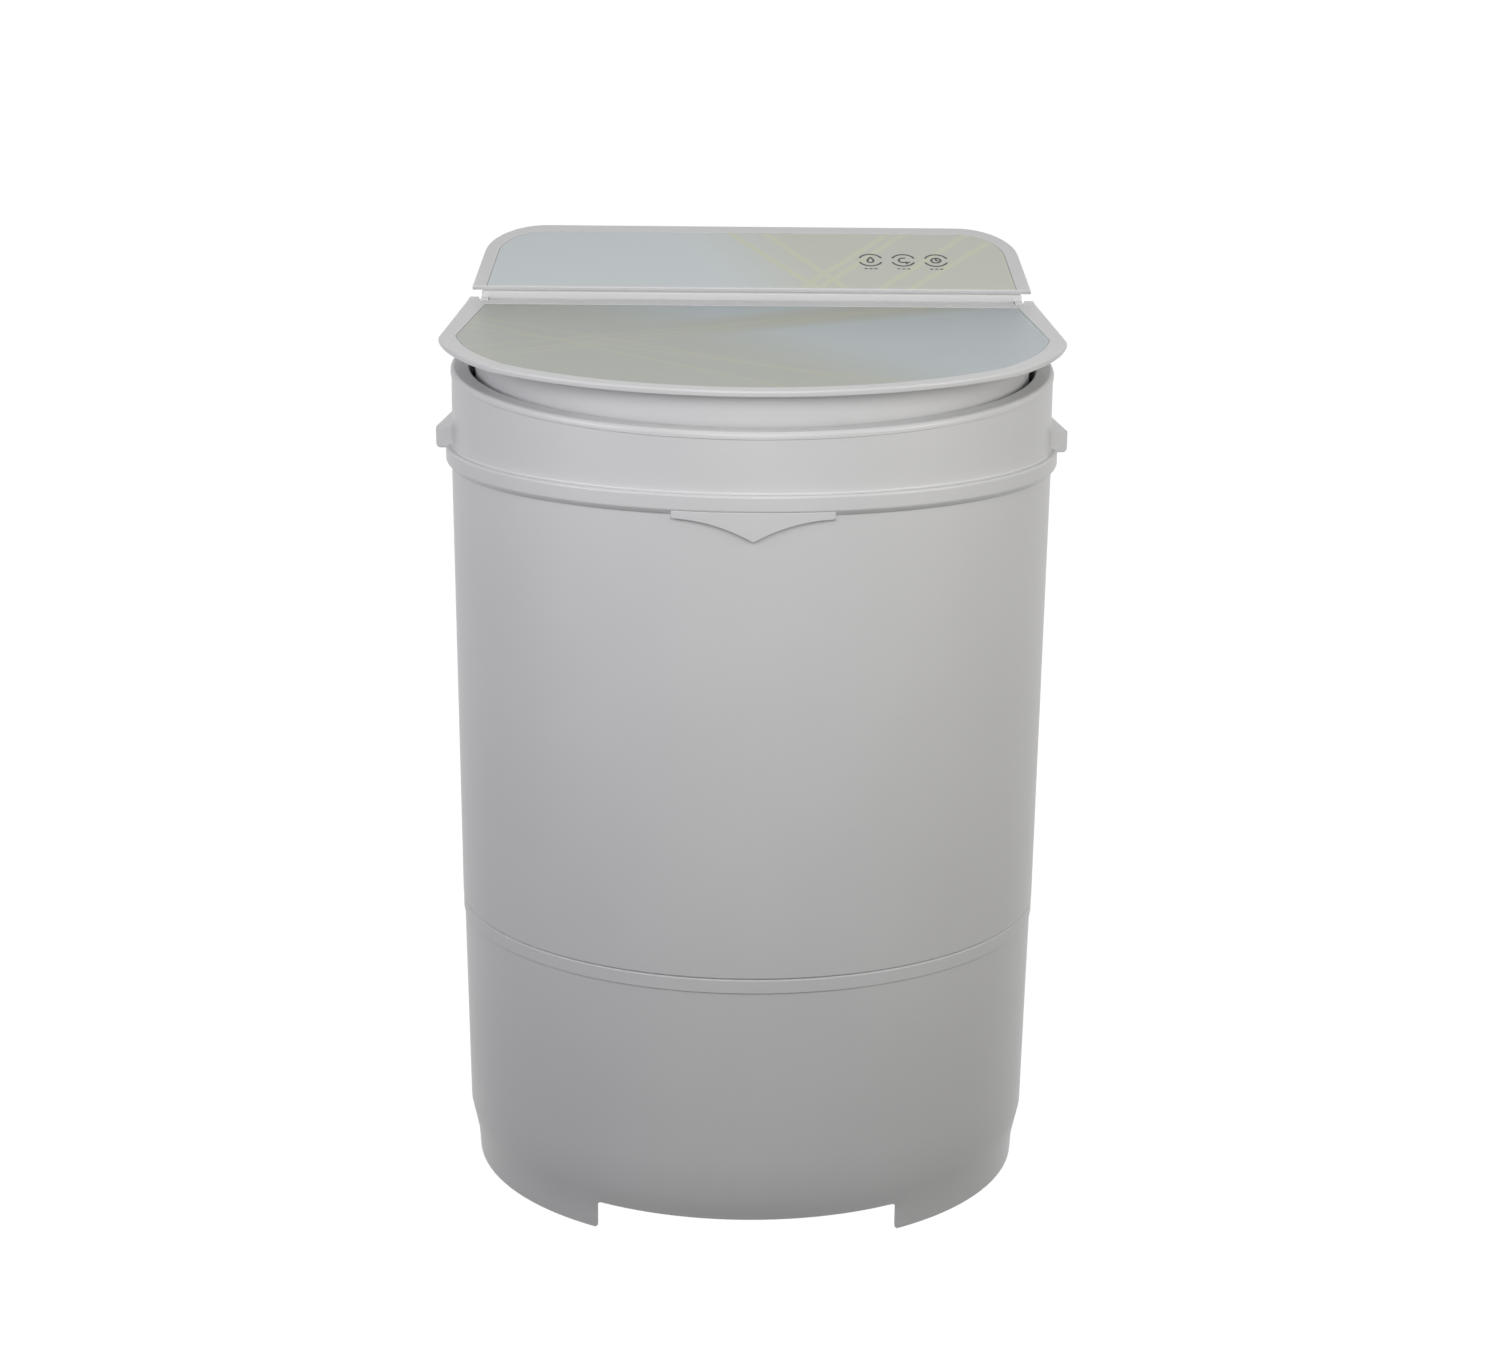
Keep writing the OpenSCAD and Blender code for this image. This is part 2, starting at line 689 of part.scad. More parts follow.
module rim_ring() {
    color("white")
    difference() {
        union() {
            // Upright wall, cut off along the sloping rim
            difference() {
                rotate_extrude($fn = round_big) ring_section();
                in_rim_frame()
                    translate([-far / 2, -far / 2, -rim_cap_t / 2]) cube([far, far, far / 4]);
            }
            // Flange over the shell, cut down to a pointed tab on its front
            difference() {
                rotate_extrude($fn = round_big) flange_section();
                difference() {
                    rotate_extrude($fn = round_big) below_flange();
                    translate([0, 0, flange_z + 1]) rotate([90, 0, 0])
                        linear_extrude(far / 2) tab_outline();
                }
            }
            // Sloping cap with its rounded outer bead, the lip and the ledge for the lid
            in_rim_frame()
                rotate_extrude($fn = round_big) {
                    translate([0, -rim_cap_t])
                        capped_section(mouth_r, rim_r + bead_over, 0, rim_cap_t, 1.5, 3);
                    translate([mouth_r, -lip_drop]) square([lip_t, lip_drop - 2]);
                    translate([ledge_r, -lip_drop])
                        square([mouth_r - ledge_r + lip_t, lip_drop - skirt_dip - seat_gap]);
                }
            both_sides() difference() {
                carrying_lug();
                translate([0, 0, lug_z - 1]) cylinder(r = rim_r - 1, h = lug_h + 2, $fn = round_big);
            }
        }
        for (a = [gland_angle, motor_lead_angle]) lead_line(a, lead_r + lead_gap);
        housing_screw_holes(1.7);
    }
}

module overflow_cover() {
    half_angle = 9;
    depth = 14;
    plate = 2;
    low = tub_floor_top + tub_corner_r + 6;
    high = tub_seat_z - 30;
    slot_pitch = 9;
    slots = 12;
    color("lightblue")
    difference() {
        rotate([0, 0, 90 - half_angle]) rotate_extrude(angle = 2 * half_angle, $fn = round_big)
            polygon([
                [tub_r(low) - seat_gap - depth, low],
                [tub_r(low) - seat_gap, low],
                [tub_r(high) - seat_gap, high],
                [tub_r(high) - seat_gap - depth, high - depth]]);
        rotate([0, 0, 90 - half_angle + 1]) rotate_extrude(angle = 2 * half_angle - 2, $fn = round_big)
            polygon([
                [tub_r(low) - depth + plate, low - 1],
                [tub_r(low) + 5, low - 1],
                [tub_r(high) + 5, high - plate - 1],
                [tub_r(high) - depth + plate, high - depth - 1]]);
        for (i = [0:slots - 1])
            rotate([0, 0, 90 - half_angle + 3]) rotate_extrude(angle = 2 * half_angle - 6, $fn = round_big)
                translate([tub_floor_r - 2 * depth, high - 30 - i * slot_pitch]) square([4 * depth, 3]);
    }
}

module bearing_housing() {
    bore_h = neck_top - bearing_z;
    color("silver")
    difference() {
        union() {
            translate([0, 0, bearing_z]) cylinder(r = bearing_tube_r, h = 30, $fn = round_small);
            translate([0, 0, tub_floor_z - bearing_flange_t])
                cylinder(r = bearing_flange_r, h = bearing_flange_t, $fn = round_small);
            translate([0, 0, bearing_z]) cylinder(r = neck_r, h = bore_h, $fn = round_small);
            // Stiffening ribs between the tube and the flange
            around(8, 0, 22.5) rotate([90, 0, 0]) translate([0, 0, -1.5]) linear_extrude(3)
                polygon([
                    [bearing_tube_r - 2, bearing_z + 6],
                    [bearing_tube_r, bearing_z + 6],
                    [bearing_flange_r - 4, tub_floor_z - bearing_flange_t + 1],
                    [bearing_tube_r - 2, tub_floor_z - bearing_flange_t + 1]]);
        }
        translate([0, 0, bearing_z - 1]) cylinder(r = neck_bore_r, h = bore_h + 2, $fn = round_small);
        around(4, bearing_bolt_r, 45)
            translate([0, 0, bearing_z]) cylinder(r = screw_hole_r, h = far, $fn = round_small);
    }
}

module bearing_screws()
    color("silver")
    around(4, bearing_bolt_r, 45) {
        translate([0, 0, tub_floor_z - bearing_flange_t - 3.5]) cylinder(r = 4, h = 3.5, $fn = 6);
        translate([0, 0, tub_floor_z - bearing_flange_t - bite])
            cylinder(r = 2.1, h = bearing_flange_t + tub_floor_t + bite, $fn = round_small);
    }

module shaft_bush(z)
    translate([0, 0, z])
        pipe(neck_bore_r - run_gap, shaft_r + run_gap, bush_h, $fn = round_small);
module upper_bush() color("peru") shaft_bush(neck_top - 21);
module lower_bush() color("peru") shaft_bush(bearing_z);

module shaft_seal()
    color("dimgray")
    translate([0, 0, neck_top - 6])
        pipe(neck_bore_r - run_gap, shaft_r + run_gap, 6, $fn = round_small);

// Corrugated hose from the tub's drain down and out to the wall
module drain_hose() {
    top_z = tub_floor_z - 4;
    bend_z = outlet_z + hose_bend;
    bend_x = drain_r + hose_bend;
    tail = outlet_tail - 12;
    turns = floor((spout_end_z - 8 - bend_z) / 6);
    bend_swell = 0.2;
    color("gray")
    rotate([0, 0, drain_angle])
    difference() {
        union() {
            translate([drain_r, 0, bend_z - bite])
                cylinder(r = hose_r, h = top_z - bend_z + bite, $fn = round_small);
            for (i = [0:turns - 1])
                translate([drain_r, 0, bend_z + 2 + i * 6])
                    cylinder(r = hose_r + 1.8, h = 3, $fn = round_small);
            translate([bend_x, 0, bend_z]) rotate([90, 0, 0])
                rotate([0, 0, 180]) rotate_extrude(angle = 90, $fn = round_big)
                    translate([hose_bend, 0]) circle(r = hose_r + bend_swell, $fn = round_small);
            translate([bend_x - bite, 0, outlet_z]) rotate([0, 90, 0])
                cylinder(r = hose_r, h = tail + bite, $fn = round_small);
        }
        translate([drain_r, 0, bend_z - bite]) cylinder(r = hose_bore, h = far, $fn = round_small);
        translate([bend_x, 0, bend_z]) rotate([90, 0, 0])
            rotate([0, 0, 180]) rotate_extrude(angle = 90, $fn = round_big)
                translate([hose_bend, 0]) circle(r = hose_bore + bend_swell, $fn = round_small);
        translate([bend_x - bite, 0, outlet_z]) rotate([0, 90, 0])
            cylinder(r = hose_bore, h = far, $fn = round_small);
    }
}

module band_clamp() {
    pipe(hose_r + 1.2, hose_r + 0.1, 7, $fn = round_small);
    difference() {
        translate([hose_r, -4, 0]) cube([8, 8, 7]);
        translate([0, 0, -1]) cylinder(r = hose_r + 0.6, h = 9, $fn = round_small);
        translate([hose_r, -1, -1]) cube([20, 2, 9]);
    }
}

module hose_clamps()
    color("silver") {
        polar(drain_r, drain_angle) translate([0, 0, spout_end_z + 8]) rotate([0, 0, 180]) band_clamp();
        pointing(drain_angle, outlet_z)
            translate([0, 0, outlet_wall_r - 23.5]) rotate([0, 0, 180]) band_clamp();
    }

// Turned on the outlet's own axis, which points out through the base wall
module drain_outlet() {
    tail_z = outlet_wall_r - 27;
    color("dimgray")
    difference() {
        pointing(drain_angle, outlet_z) difference() {
            union() {
                translate([0, 0, tail_z]) cylinder(r = hose_bore - 0.1, h = 15, $fn = round_small);
                translate([0, 0, outlet_wall_r - 12.5])
                    cylinder(r = outlet_r + 3, h = 17, $fn = round_small);
                translate([0, 0, outlet_wall_r - 2]) cylinder(r = outlet_r + 9, h = 6, $fn = round_small);
                translate([0, 0, outlet_wall_r + 3])
                    cylinder(r = outlet_r, h = outlet_len + 1, $fn = round_small);
            }
            translate([0, 0, tail_z - 1]) cylinder(r = outlet_r - 2, h = far, $fn = round_small);
        }
        // The collar follows the round wall
        difference() {
            rotate_extrude($fn = round_big) translate([outlet_wall_r - 11, base_step_z - 20])
                polygon([[0, 0], [11.25, 0], [11.25 + base_slope * 90, 90], [0, 90]]);
            pointing(drain_angle, outlet_z) cylinder(r = outlet_r + 3, h = far, $fn = round_small);
        }
    }
}

module outlet_nut()
    color("gray")
    pointing(drain_angle, outlet_z) translate([0, 0, outlet_wall_r - 11.5])
        difference() {
            cylinder(r = outlet_r + 10, h = 6, $fn = 6);
            translate([0, 0, -1]) cylinder(r = outlet_r + 3.05, h = 9, $fn = round_small);
        }

module motor_can() {
    color("darkgray")
    translate([motor_x, 0, motor_z])
    difference() {
        union() {
            cylinder(r = motor_r, h = can_top - motor_z, $fn = round_big);
            around(4, 0, 45) {
                translate([motor_r - 8, -9, 0]) cube([motor_bolt_r - motor_r + 8, 18, motor_plate_t]);
                translate([motor_bolt_r, 0, 0]) cylinder(r = 9, h = motor_plate_t, $fn = round_small);
            }
        }
        difference() {
            translate([0, 0, motor_plate_t]) cylinder(r = motor_r - can_wall, h = far, $fn = round_big);
            translate([0, 0, -1])
                cylinder(r = bearing_r + 3, h = bearing_h + motor_plate_t + 1, $fn = round_small);
        }
        translate([0, 0, motor_plate_t])
            cylinder(r = bearing_r + run_gap, h = far, $fn = round_small);
        around(4, motor_bolt_r, 45) translate([0, 0, -1])
            cylinder(r = bolt_r + 0.1, h = 9, $fn = round_small);
        // Cooling slots round the foot of the can
        around(16, motor_r - 5, 11.25) translate([0, -2.5, 6]) cube([10, 5, 6]);
    }
}

module motor_end_cap() {
    seat_z = can_top - 4;
    color("silver")
    translate([motor_x, 0, 0])
    difference() {
        union() {
            translate([0, 0, can_top]) cylinder(r = motor_r, h = cap_t, $fn = round_big);
            translate([0, 0, seat_z]) cylinder(r = motor_r - can_wall - 0.1, h = 5, $fn = round_big);
            translate([0, 0, seat_z]) cylinder(r = bearing_r + 3, h = bearing_h + 6, $fn = round_small);
        }
        translate([0, 0, seat_z - 1])
            cylinder(r = bearing_r + run_gap, h = bearing_h + 2, $fn = round_small);
        cylinder(r = motor_shaft_r + 1, h = far, $fn = round_small);
        around(8, 32) translate([0, 0, seat_z - 1]) cylinder(r = 7, h = 20, $fn = round_small);
        translate([0, 0, seat_z - 1])
            pipe(motor_r - can_wall - 3, motor_r - can_wall - 15, 3, $fn = round_small);
    }
}

module motor_stator()
    color("orangered")
    translate([motor_x, 0, stator_z])
    difference() {
        union() {
            cylinder(r = motor_r - can_wall - 0.1, h = stator_h, $fn = round_big);
            translate([0, 0, -5]) cylinder(r = motor_r - can_wall - 6, h = stator_h + 10, $fn = round_big);
        }
        translate([0, 0, -20]) cylinder(r = stator_bore_r, h = far, $fn = round_big);
        // Winding slots
        around(18, stator_bore_r - 1) translate([0, -1.2, -20]) cube([6, 2.4, far]);
        translate([0, 0, stator_h + 0.1]) cylinder(r = stator_bore_r + 4, h = far, $fn = round_big);
    }

module motor_bearings()
    color("silver")
    translate([motor_x, 0, 0])
        for (z = [motor_z + motor_plate_t, can_top - 4])
            translate([0, 0, z]) pipe(bearing_r, motor_shaft_r + run_gap, bearing_h, $fn = round_small);

module motor_grommets()
    color("dimgray")
    translate([motor_x, 0, deck_top]) around(4, motor_bolt_r, 45)
        difference() {
            union() {
                cylinder(r = 8, h = grommet_h, $fn = round_small);
                translate([0, 0, grommet_h / 2 - 1]) cylinder(r = 9, h = 2, $fn = round_small);
            }
            translate([0, 0, -1]) cylinder(r = bolt_r + 0.1, h = grommet_h + 2, $fn = round_small);
        }

module motor_bolts()
    color("silver")
    translate([motor_x, 0, 0]) around(4, motor_bolt_r, 45) {
        translate([0, 0, motor_z + motor_plate_t]) cylinder(r = 5.5, h = 4, $fn = 6);
        translate([0, 0, deck_z - 8])
            cylinder(r = bolt_r, h = motor_z + motor_plate_t + bite - deck_z + 8, $fn = round_small);
    }

module motor_nuts()
    color("silver")
    translate([motor_x, 0, deck_z - 5]) around(4, motor_bolt_r, 45)
        difference() {
            cylinder(r = 5.5, h = 5, $fn = 6);
            translate([0, 0, -1]) cylinder(r = bolt_r + 0.05, h = 7, $fn = round_small);
        }

module run_capacitor()
    color("lightgray")
    polar(capacitor_pos_r, capacitor_angle) translate([0, 0, deck_top]) {
        cylinder(r = capacitor_r, h = capacitor_h - 2, $fn = round_small);
        cylinder(r = capacitor_r - 1.5, h = capacitor_h, $fn = round_small);
        for (y = [-6, 6]) translate([-3, y - 0.5, capacitor_h - bite]) cube([6, 1, 8 + bite]);
    }

// Section of the belt or, grown by a gap, of the groove that it runs in
module belt_section(pitch, gap, over) {
    low = -belt_half_h - gap;
    high = belt_half_h + over;
    polygon([
        [pitch + low, -belt_half_w - low * belt_slope - gap],
        [pitch + high, -belt_half_w - high * belt_slope - gap],
        [pitch + high, belt_half_w + high * belt_slope + gap],
        [pitch + low, belt_half_w + low * belt_slope + gap]]);
}

module drive_belt() {
    drop = driven_pitch_r - motor_pitch_r;
    wrap = acos(drop / belt_centres);
    span = sqrt(belt_centres * belt_centres - drop * drop);
    color("dimgray")
    translate([0, 0, belt_z]) {
        rotate([0, 0, wrap]) rotate_extrude(angle = 360 - 2 * wrap, $fn = round_big)
            belt_section(driven_pitch_r, 0, 0);
        translate([motor_x, 0, 0]) rotate([0, 0, -wrap]) rotate_extrude(angle = 2 * wrap, $fn = round_big)
            belt_section(motor_pitch_r, 0, 0);
        // The two straight runs, a hair thinner than the stretches round the pulleys
        for (side = [-1, 1]) rotate([0, 0, side * wrap])
            rotate([90, 0, 0]) translate([0, 0, side > 0 ? -1 : -span - 1])
                linear_extrude(span + 2) belt_section(driven_pitch_r, -0.06, -0.06);
    }
}

module grooved_rim(pitch, out_r, in_r)
    rotate_extrude($fn = round_big)
        difference() {
            translate([in_r, -pulley_h / 2]) square([out_r - in_r, pulley_h]);
            belt_section(pitch, groove_gap, 2);
        }

module driven_pulley() {
    rim_in = driven_pitch_r - belt_half_h - 6;
    boss_r = shaft_r + 9;
    color("gray")
    translate([0, 0, belt_z])
    difference() {
        union() {
            grooved_rim(driven_pitch_r, driven_out_r, rim_in);
            translate([0, 0, -pulley_h / 2]) cylinder(r = boss_r, h = pulley_h, $fn = round_small);
            around(5, 0) {
                translate([boss_r - 2, -5, -3]) cube([rim_in - boss_r + 3, 10, 6]);
                translate([boss_r - 2, -1.5, -6]) cube([rim_in - boss_r + 3, 3, 12]);
            }
        }
        translate([0, 0, -pulley_h]) cylinder(r = shaft_r + run_gap, h = 2 * pulley_h, $fn = round_small);
    }
}

module motor_pulley()
    color("silver")
    translate([motor_x, 0, belt_z])
    difference() {
        grooved_rim(motor_pitch_r, motor_out_r, motor_shaft_r + run_gap);
        translate([0, 0, pulley_h / 2 - 1.4]) rotate([0, 90, 0])
            cylinder(r = 1.1, h = 40, $fn = round_small);
    }

module pulley_set_screw()
    color("dimgray")
    translate([motor_x + motor_shaft_r + 0.2, 0, belt_z + pulley_h / 2 - 1.4]) rotate([0, 90, 0])
        cylinder(r = 1, h = motor_out_r - motor_shaft_r - 0.5, $fn = round_small);

module pulley_nut()
    color("silver")
    translate([0, 0, pulley_z - nut_h])
    difference() {
        union() {
            cylinder(r = 9, h = nut_h - 1.5, $fn = 6);
            translate([0, 0, nut_h - 2]) cylinder(r = 11, h = 1.9, $fn = round_small);
        }
        translate([0, 0, -1]) cylinder(r = hub_bore_r + run_gap, h = nut_h + 2, $fn = round_small);
    }

module drive_shaft() {
    low = pulley_z - nut_h - 3;
    color("silver")
    difference() {
        union() {
            translate([0, 0, low]) cylinder(r = hub_bore_r, h = hub_floor - 1 - low, $fn = round_small);
            translate([0, 0, pulley_z]) cylinder(r = shaft_r, h = hub_z - pulley_z, $fn = round_small);
        }
        translate([0, 0, hub_floor - 14]) cylinder(r = 2.55, h = 20, $fn = round_small);
        // Groove for the retaining ring under the lower bush
        translate([0, 0, bearing_z - 1.6]) pipe(shaft_r + 2, shaft_r - 1, 1.3, $fn = round_small);
    }
}

module shaft_circlip()
    color("darkgray")
    translate([0, 0, bearing_z - 1.5])
    difference() {
        pipe(shaft_r + 3, shaft_r - 0.9, 1.1, $fn = round_small);
        translate([0, -2, -1]) cube([20, 4, 4]);
    }

module thrust_washer()
    color("white")
    translate([0, 0, neck_top + seat_gap]) pipe(neck_bore_r + 2, shaft_r + run_gap, 1.4, $fn = round_small);

module motor_rotor()
    color("silver")
    translate([motor_x, 0, 0]) {
        translate([0, 0, stator_z]) cylinder(r = rotor_r, h = stator_h, $fn = round_big);
        translate([0, 0, motor_z + motor_plate_t + 0.5])
            cylinder(r = motor_shaft_r, h = belt_z + pulley_h / 2 + 2 - motor_z - motor_plate_t,
                $fn = round_small);
        // Cooling fan on top of the rotor
        around(10, 0) translate([motor_shaft_r - 1, -0.8, stator_z + stator_h - bite])
            cube([stator_bore_r - 8 - motor_shaft_r, 1.6, 7]);
    }

// Height of the pulsator's outside face at a radius
function dome_at(r) = dome_c + sqrt(dome_sphere_r * dome_sphere_r - r * r);

module dome_section() {
    intersection() {
        union() {
            translate([0, dome_c]) circle(r = dome_sphere_r, $fn = 1400);
            translate([0, hump_c]) circle(r = hump_r, $fn = 160);
        }
        translate([0, pulsator_z]) square([pulsator_r, far]);
    }
}

module pulsator() {
    vane_r = 0.59 * pulsator_r;
    vane_w = 8;
    vane_fall = 9;
    hole_r = 2.6;
    color("lightsteelblue")
    difference() {
        union() {
            rotate_extrude($fn = round_big)
                difference() {
                    dome_section();
                    difference() {
                        union() {
                            translate([0, dome_c]) circle(r = dome_sphere_r - dome_t, $fn = 1400);
                            translate([0, hump_c]) circle(r = hump_r - dome_t, $fn = 160);
                        }
                        translate([pulsator_r - dome_t, 0]) square([far, far]);
                    }
                }
            // Curved vanes with round crests that fall away towards the rim
            intersection() {
                around(vane_count, 0)
                    translate([20, 0, dome_at(60) + 8]) rotate([0, vane_fall, 0])
                        translate([0, -vane_r, 0]) rotate([0, 0, 20])
                            rotate_extrude(angle = 75, $fn = round_big) {
                            translate([vane_r, 0]) circle(r = vane_w, $fn = round_small);
                            translate([vane_r - vane_w, -60]) square([2 * vane_w, 60]);
                        }
                rotate_extrude($fn = round_big) difference() {
                    translate([24, pulsator_z]) square([pulsator_r - 30, 60]);
                    translate([0, dome_c]) circle(r = dome_sphere_r - 1, $fn = 1400);
                }
            }
            translate([0, 0, hub_z])
                cylinder(r = hub_r, h = hump_c + hump_r - 6 - hub_z, $fn = round_small);
            // Ribs under the hump
            around(6, 0) translate([hub_r - 2, -1, hub_z + 1])
                cube([24 - hub_r + 14, 2, dome_at(20) - 1 - hub_z]);
        }
        cylinder(r = hub_bore_r + run_gap, h = far, $fn = round_small);
        translate([0, 0, hub_floor]) cylinder(r = cap_r, h = far, $fn = round_small);
        // Water holes between the vanes
        around(vane_count, 0, 180 / vane_count + 4) for (share = [0.49, 0.62, 0.75, 0.86])
            translate([share * pulsator_r, 0, pulsator_z - 1])
                cylinder(r = hole_r, h = far, $fn = round_small);
    }
}

module pulsator_screw()
    color("silver") {
        translate([0, 0, hub_floor]) cylinder(r = 8, h = 4, $fn = round_small);
        translate([0, 0, hub_floor - 12]) cylinder(r = 2.5, h = 12 + bite, $fn = round_small);
    }

module pulsator_cap() {
    top = hump_c + hump_r;
    color("white") {
        translate([0, 0, hub_floor]) pipe(cap_r - 0.1, cap_r - 1.6, top - 4 - hub_floor, $fn = round_small);
        intersection() {
            translate([0, 0, top - 6]) cylinder(r = cap_r - 0.1, h = 10, $fn = round_small);
            translate([0, 0, hump_c]) sphere(r = hump_r + 0.4, $fn = 160);
        }
    }
}

module cord_gland()
    color("dimgray")
    pointing(gland_angle, gland_z)
    difference() {
        union() {
            translate([0, 0, gland_r - 8]) cylinder(r = 8, h = 14, $fn = round_small);
            translate([0, 0, gland_r + 0.6]) cylinder(r = 12, h = 3, $fn = round_small);
            translate([0, 0, gland_r - 6.6]) cylinder(r = 9.4, h = 2.6, $fn = 6);
            translate([0, 0, gland_r + 3]) cylinder(r = 7, h = 7, $fn = round_small);
        }
        translate([0, 0, gland_r - 20]) cylinder(r = lead_r + 0.8, h = 60, $fn = round_small);
    }

module wiring_harness() {
    gland_dir = [cos(gland_angle), sin(gland_angle), 0];
    motor_dir = [cos(motor_lead_angle), sin(motor_lead_angle), 0];
    up = [0, 0, 1];
    color("black") {
        // Mains lead from the gland up to the control housing
        lead([lead_at(lead_high_z) * gland_dir + lead_high_z * up,
            lead_low_r * gland_dir + lead_low_z * up,
            (gland_r - 12) * gland_dir + gland_z * up,
            (gland_r - 4) * gland_dir + gland_z * up], lead_r, $fn = 24);
        // Motor lead down to the motor
        lead([lead_at(lead_high_z) * motor_dir + lead_high_z * up,
            lead_low_r * motor_dir + lead_low_z * up,
            [motor_x, motor_r + 16, motor_z + 26],
            [motor_x, motor_r + 0.25, motor_z + 26]], lead_r, $fn = 24);
        // Lead from the motor along the deck to the run capacitor
        motor_mid = [motor_x, 0, 0];
        cap_mid = capacitor_pos_r * [cos(capacitor_angle), sin(capacitor_angle), 0];
        way = (cap_mid - motor_mid) / norm(cap_mid - motor_mid);
        deck_lead_z = deck_top + 1.12 * lead_r + 0.2;
        lead([motor_mid + (motor_r + 0.25) * way + (motor_z + 12) * up,
            motor_mid + (motor_r + 7) * way + (motor_z + 12) * up,
            motor_mid + (motor_r + 14) * way + deck_lead_z * up,
            cap_mid - (capacitor_r + 16) * way + deck_lead_z * up,
            cap_mid - (capacitor_r + 7) * way + (deck_top + 32) * up,
            cap_mid - (capacitor_r + 0.25) * way + (deck_top + 32) * up], lead_r, $fn = 24);
    }
}

// Outline of the panel in its own plane: front edge on y = 0, drawn in by an inset
function touch_angle(p, c, r) = atan2(p[1] - c[1], p[0] - c[0]) + acos(r / norm(p - c));
module panel_outline(half_w, corner_x, corner_y, corner_r, front, rear) {
    c = [corner_x, corner_y];
    a = touch_angle([half_w, front], c, corner_r);
    line_dip = 0.1;
    touch = c + (corner_r - line_dip) * [cos(a), sin(a)];
    polygon([
        [-half_w, front],
        [half_w, front],
        touch,
        [corner_x, rear - line_dip],
        [-corner_x, rear - line_dip],
        [-touch[0], touch[1]]]);
    for (x = [-corner_x, corner_x])
        translate([x, corner_y]) circle(r = corner_r, $fn = round_big);
}
module fascia_outline(inset = 0, front = 0)
    panel_outline(panel_half_w - inset, panel_corner_x, panel_len - panel_corner_r,
        panel_corner_r - inset, front, panel_len - inset);
module housing_outline(inset = 0)
    panel_outline(housing_half_w - inset, housing_corner_x, housing_corner_y,
        housing_corner_r - inset, panel_y + inset, housing_rear_y - inset);

// The space between the sloping rim and the underside of the panel
module housing_space(lift, drop)
    difference() {
        translate([-far / 2, 0, rim_z - lip_drop]) cube([far, far / 2, far / 4]);
        in_rim_frame() translate([-far / 2, -far / 2, lift - far / 2]) cube([far, far, far / 2]);
        in_panel_frame() translate([-far / 2, -far / 2, -fascia_t - drop]) cube([far, far, far / 2]);
    }

module housing_screw_holes(r)
    in_rim_frame() for (a = housing_screw_angles)
        polar(housing_screw_r, a) translate([0, 0, -30]) cylinder(r = r, h = 40, $fn = round_small);

module hinge_ear() {
    translate([ear_in_x, hinge_y, hinge_z]) rotate([0, 90, 0])
        cylinder(r = ear_r, h = ear_t, $fn = round_small);
    translate([ear_in_x, hinge_y, hinge_z - ear_r]) cube([ear_t, panel_y + 1 - hinge_y, 2 * ear_r]);
}

module control_housing() {
    color("whitesmoke")
    difference() {
        union() {
            difference() {
                intersection() {
                    translate([0, 0, rim_z - lip_drop]) linear_extrude(far / 4) housing_outline();
                    housing_space(0, 0);
                }
                intersection() {
                    translate([0, 0, rim_z - lip_drop])
                        linear_extrude(far / 4) housing_outline(housing_wall);
                    housing_space(housing_wall, -20);
                }
            }
            both_sides() hinge_ear();
        }
        both_sides() translate([ear_in_x - 1, hinge_y, hinge_z]) rotate([0, 90, 0])
            cylinder(r = pin_r + run_gap, h = ear_t + 2, $fn = round_small);
        for (a = [gland_angle, motor_lead_angle]) lead_line(a, lead_r + lead_gap);
        housing_screw_holes(2.1);
    }
}

module housing_screws()
    color("silver")
    in_rim_frame() for (a = housing_screw_angles)
        polar(housing_screw_r, a) {
            translate([0, 0, housing_wall]) cylinder(r = 3.6, h = 2.4, $fn = round_small);
            translate([0, 0, -9]) cylinder(r = 1.6, h = 9 + housing_wall + bite, $fn = round_small);
        }

module control_fascia() {
    color("white")
    in_panel_frame()
    difference() {
        union() {
            translate([0, 0, -fascia_t]) linear_extrude(fascia_t) fascia_outline();
            // Posts for the touch board
            for (x = [-1, 1], y = [-1, 1])
                translate([board_x + x * (board_w / 2 - 5), key_y + y * (board_d / 2 - 4), -board_z])
                    cylinder(r = 3, h = board_z - fascia_t + bite, $fn = 24);
        }
        translate([0, 0, -decor_t - decor_dip]) linear_extrude(2 * decor_t)
            fascia_outline(panel_border, panel_front_border);
    }
}

module control_decor()
    color("lightsteelblue")
    in_panel_frame()
        translate([0, 0, -decor_t - decor_dip]) linear_extrude(decor_t)
            fascia_outline(panel_border + decor_gap, panel_front_border + decor_gap);

module control_board()
    color("darkgreen")
    in_panel_frame() translate([0, 0, -board_z - board_t]) {
        translate([board_x - board_w / 2, key_y - board_d / 2, 0]) cube([board_w, board_d, board_t]);
        // Relay and connector on the underside
        translate([board_x - 40, key_y - 8, -9]) cube([18, 15, 9 + bite]);
        translate([board_x - 14, key_y - 6, -7]) cube([22, 8, 7 + bite]);
    }

module touch_pads()
    color("silver")
    in_panel_frame()
        for (i = [-1, 0, 1])
            translate([key_x + i * key_pitch, key_y, -board_z])
                cylinder(r = 6, h = board_z - fascia_t, $fn = round_small);

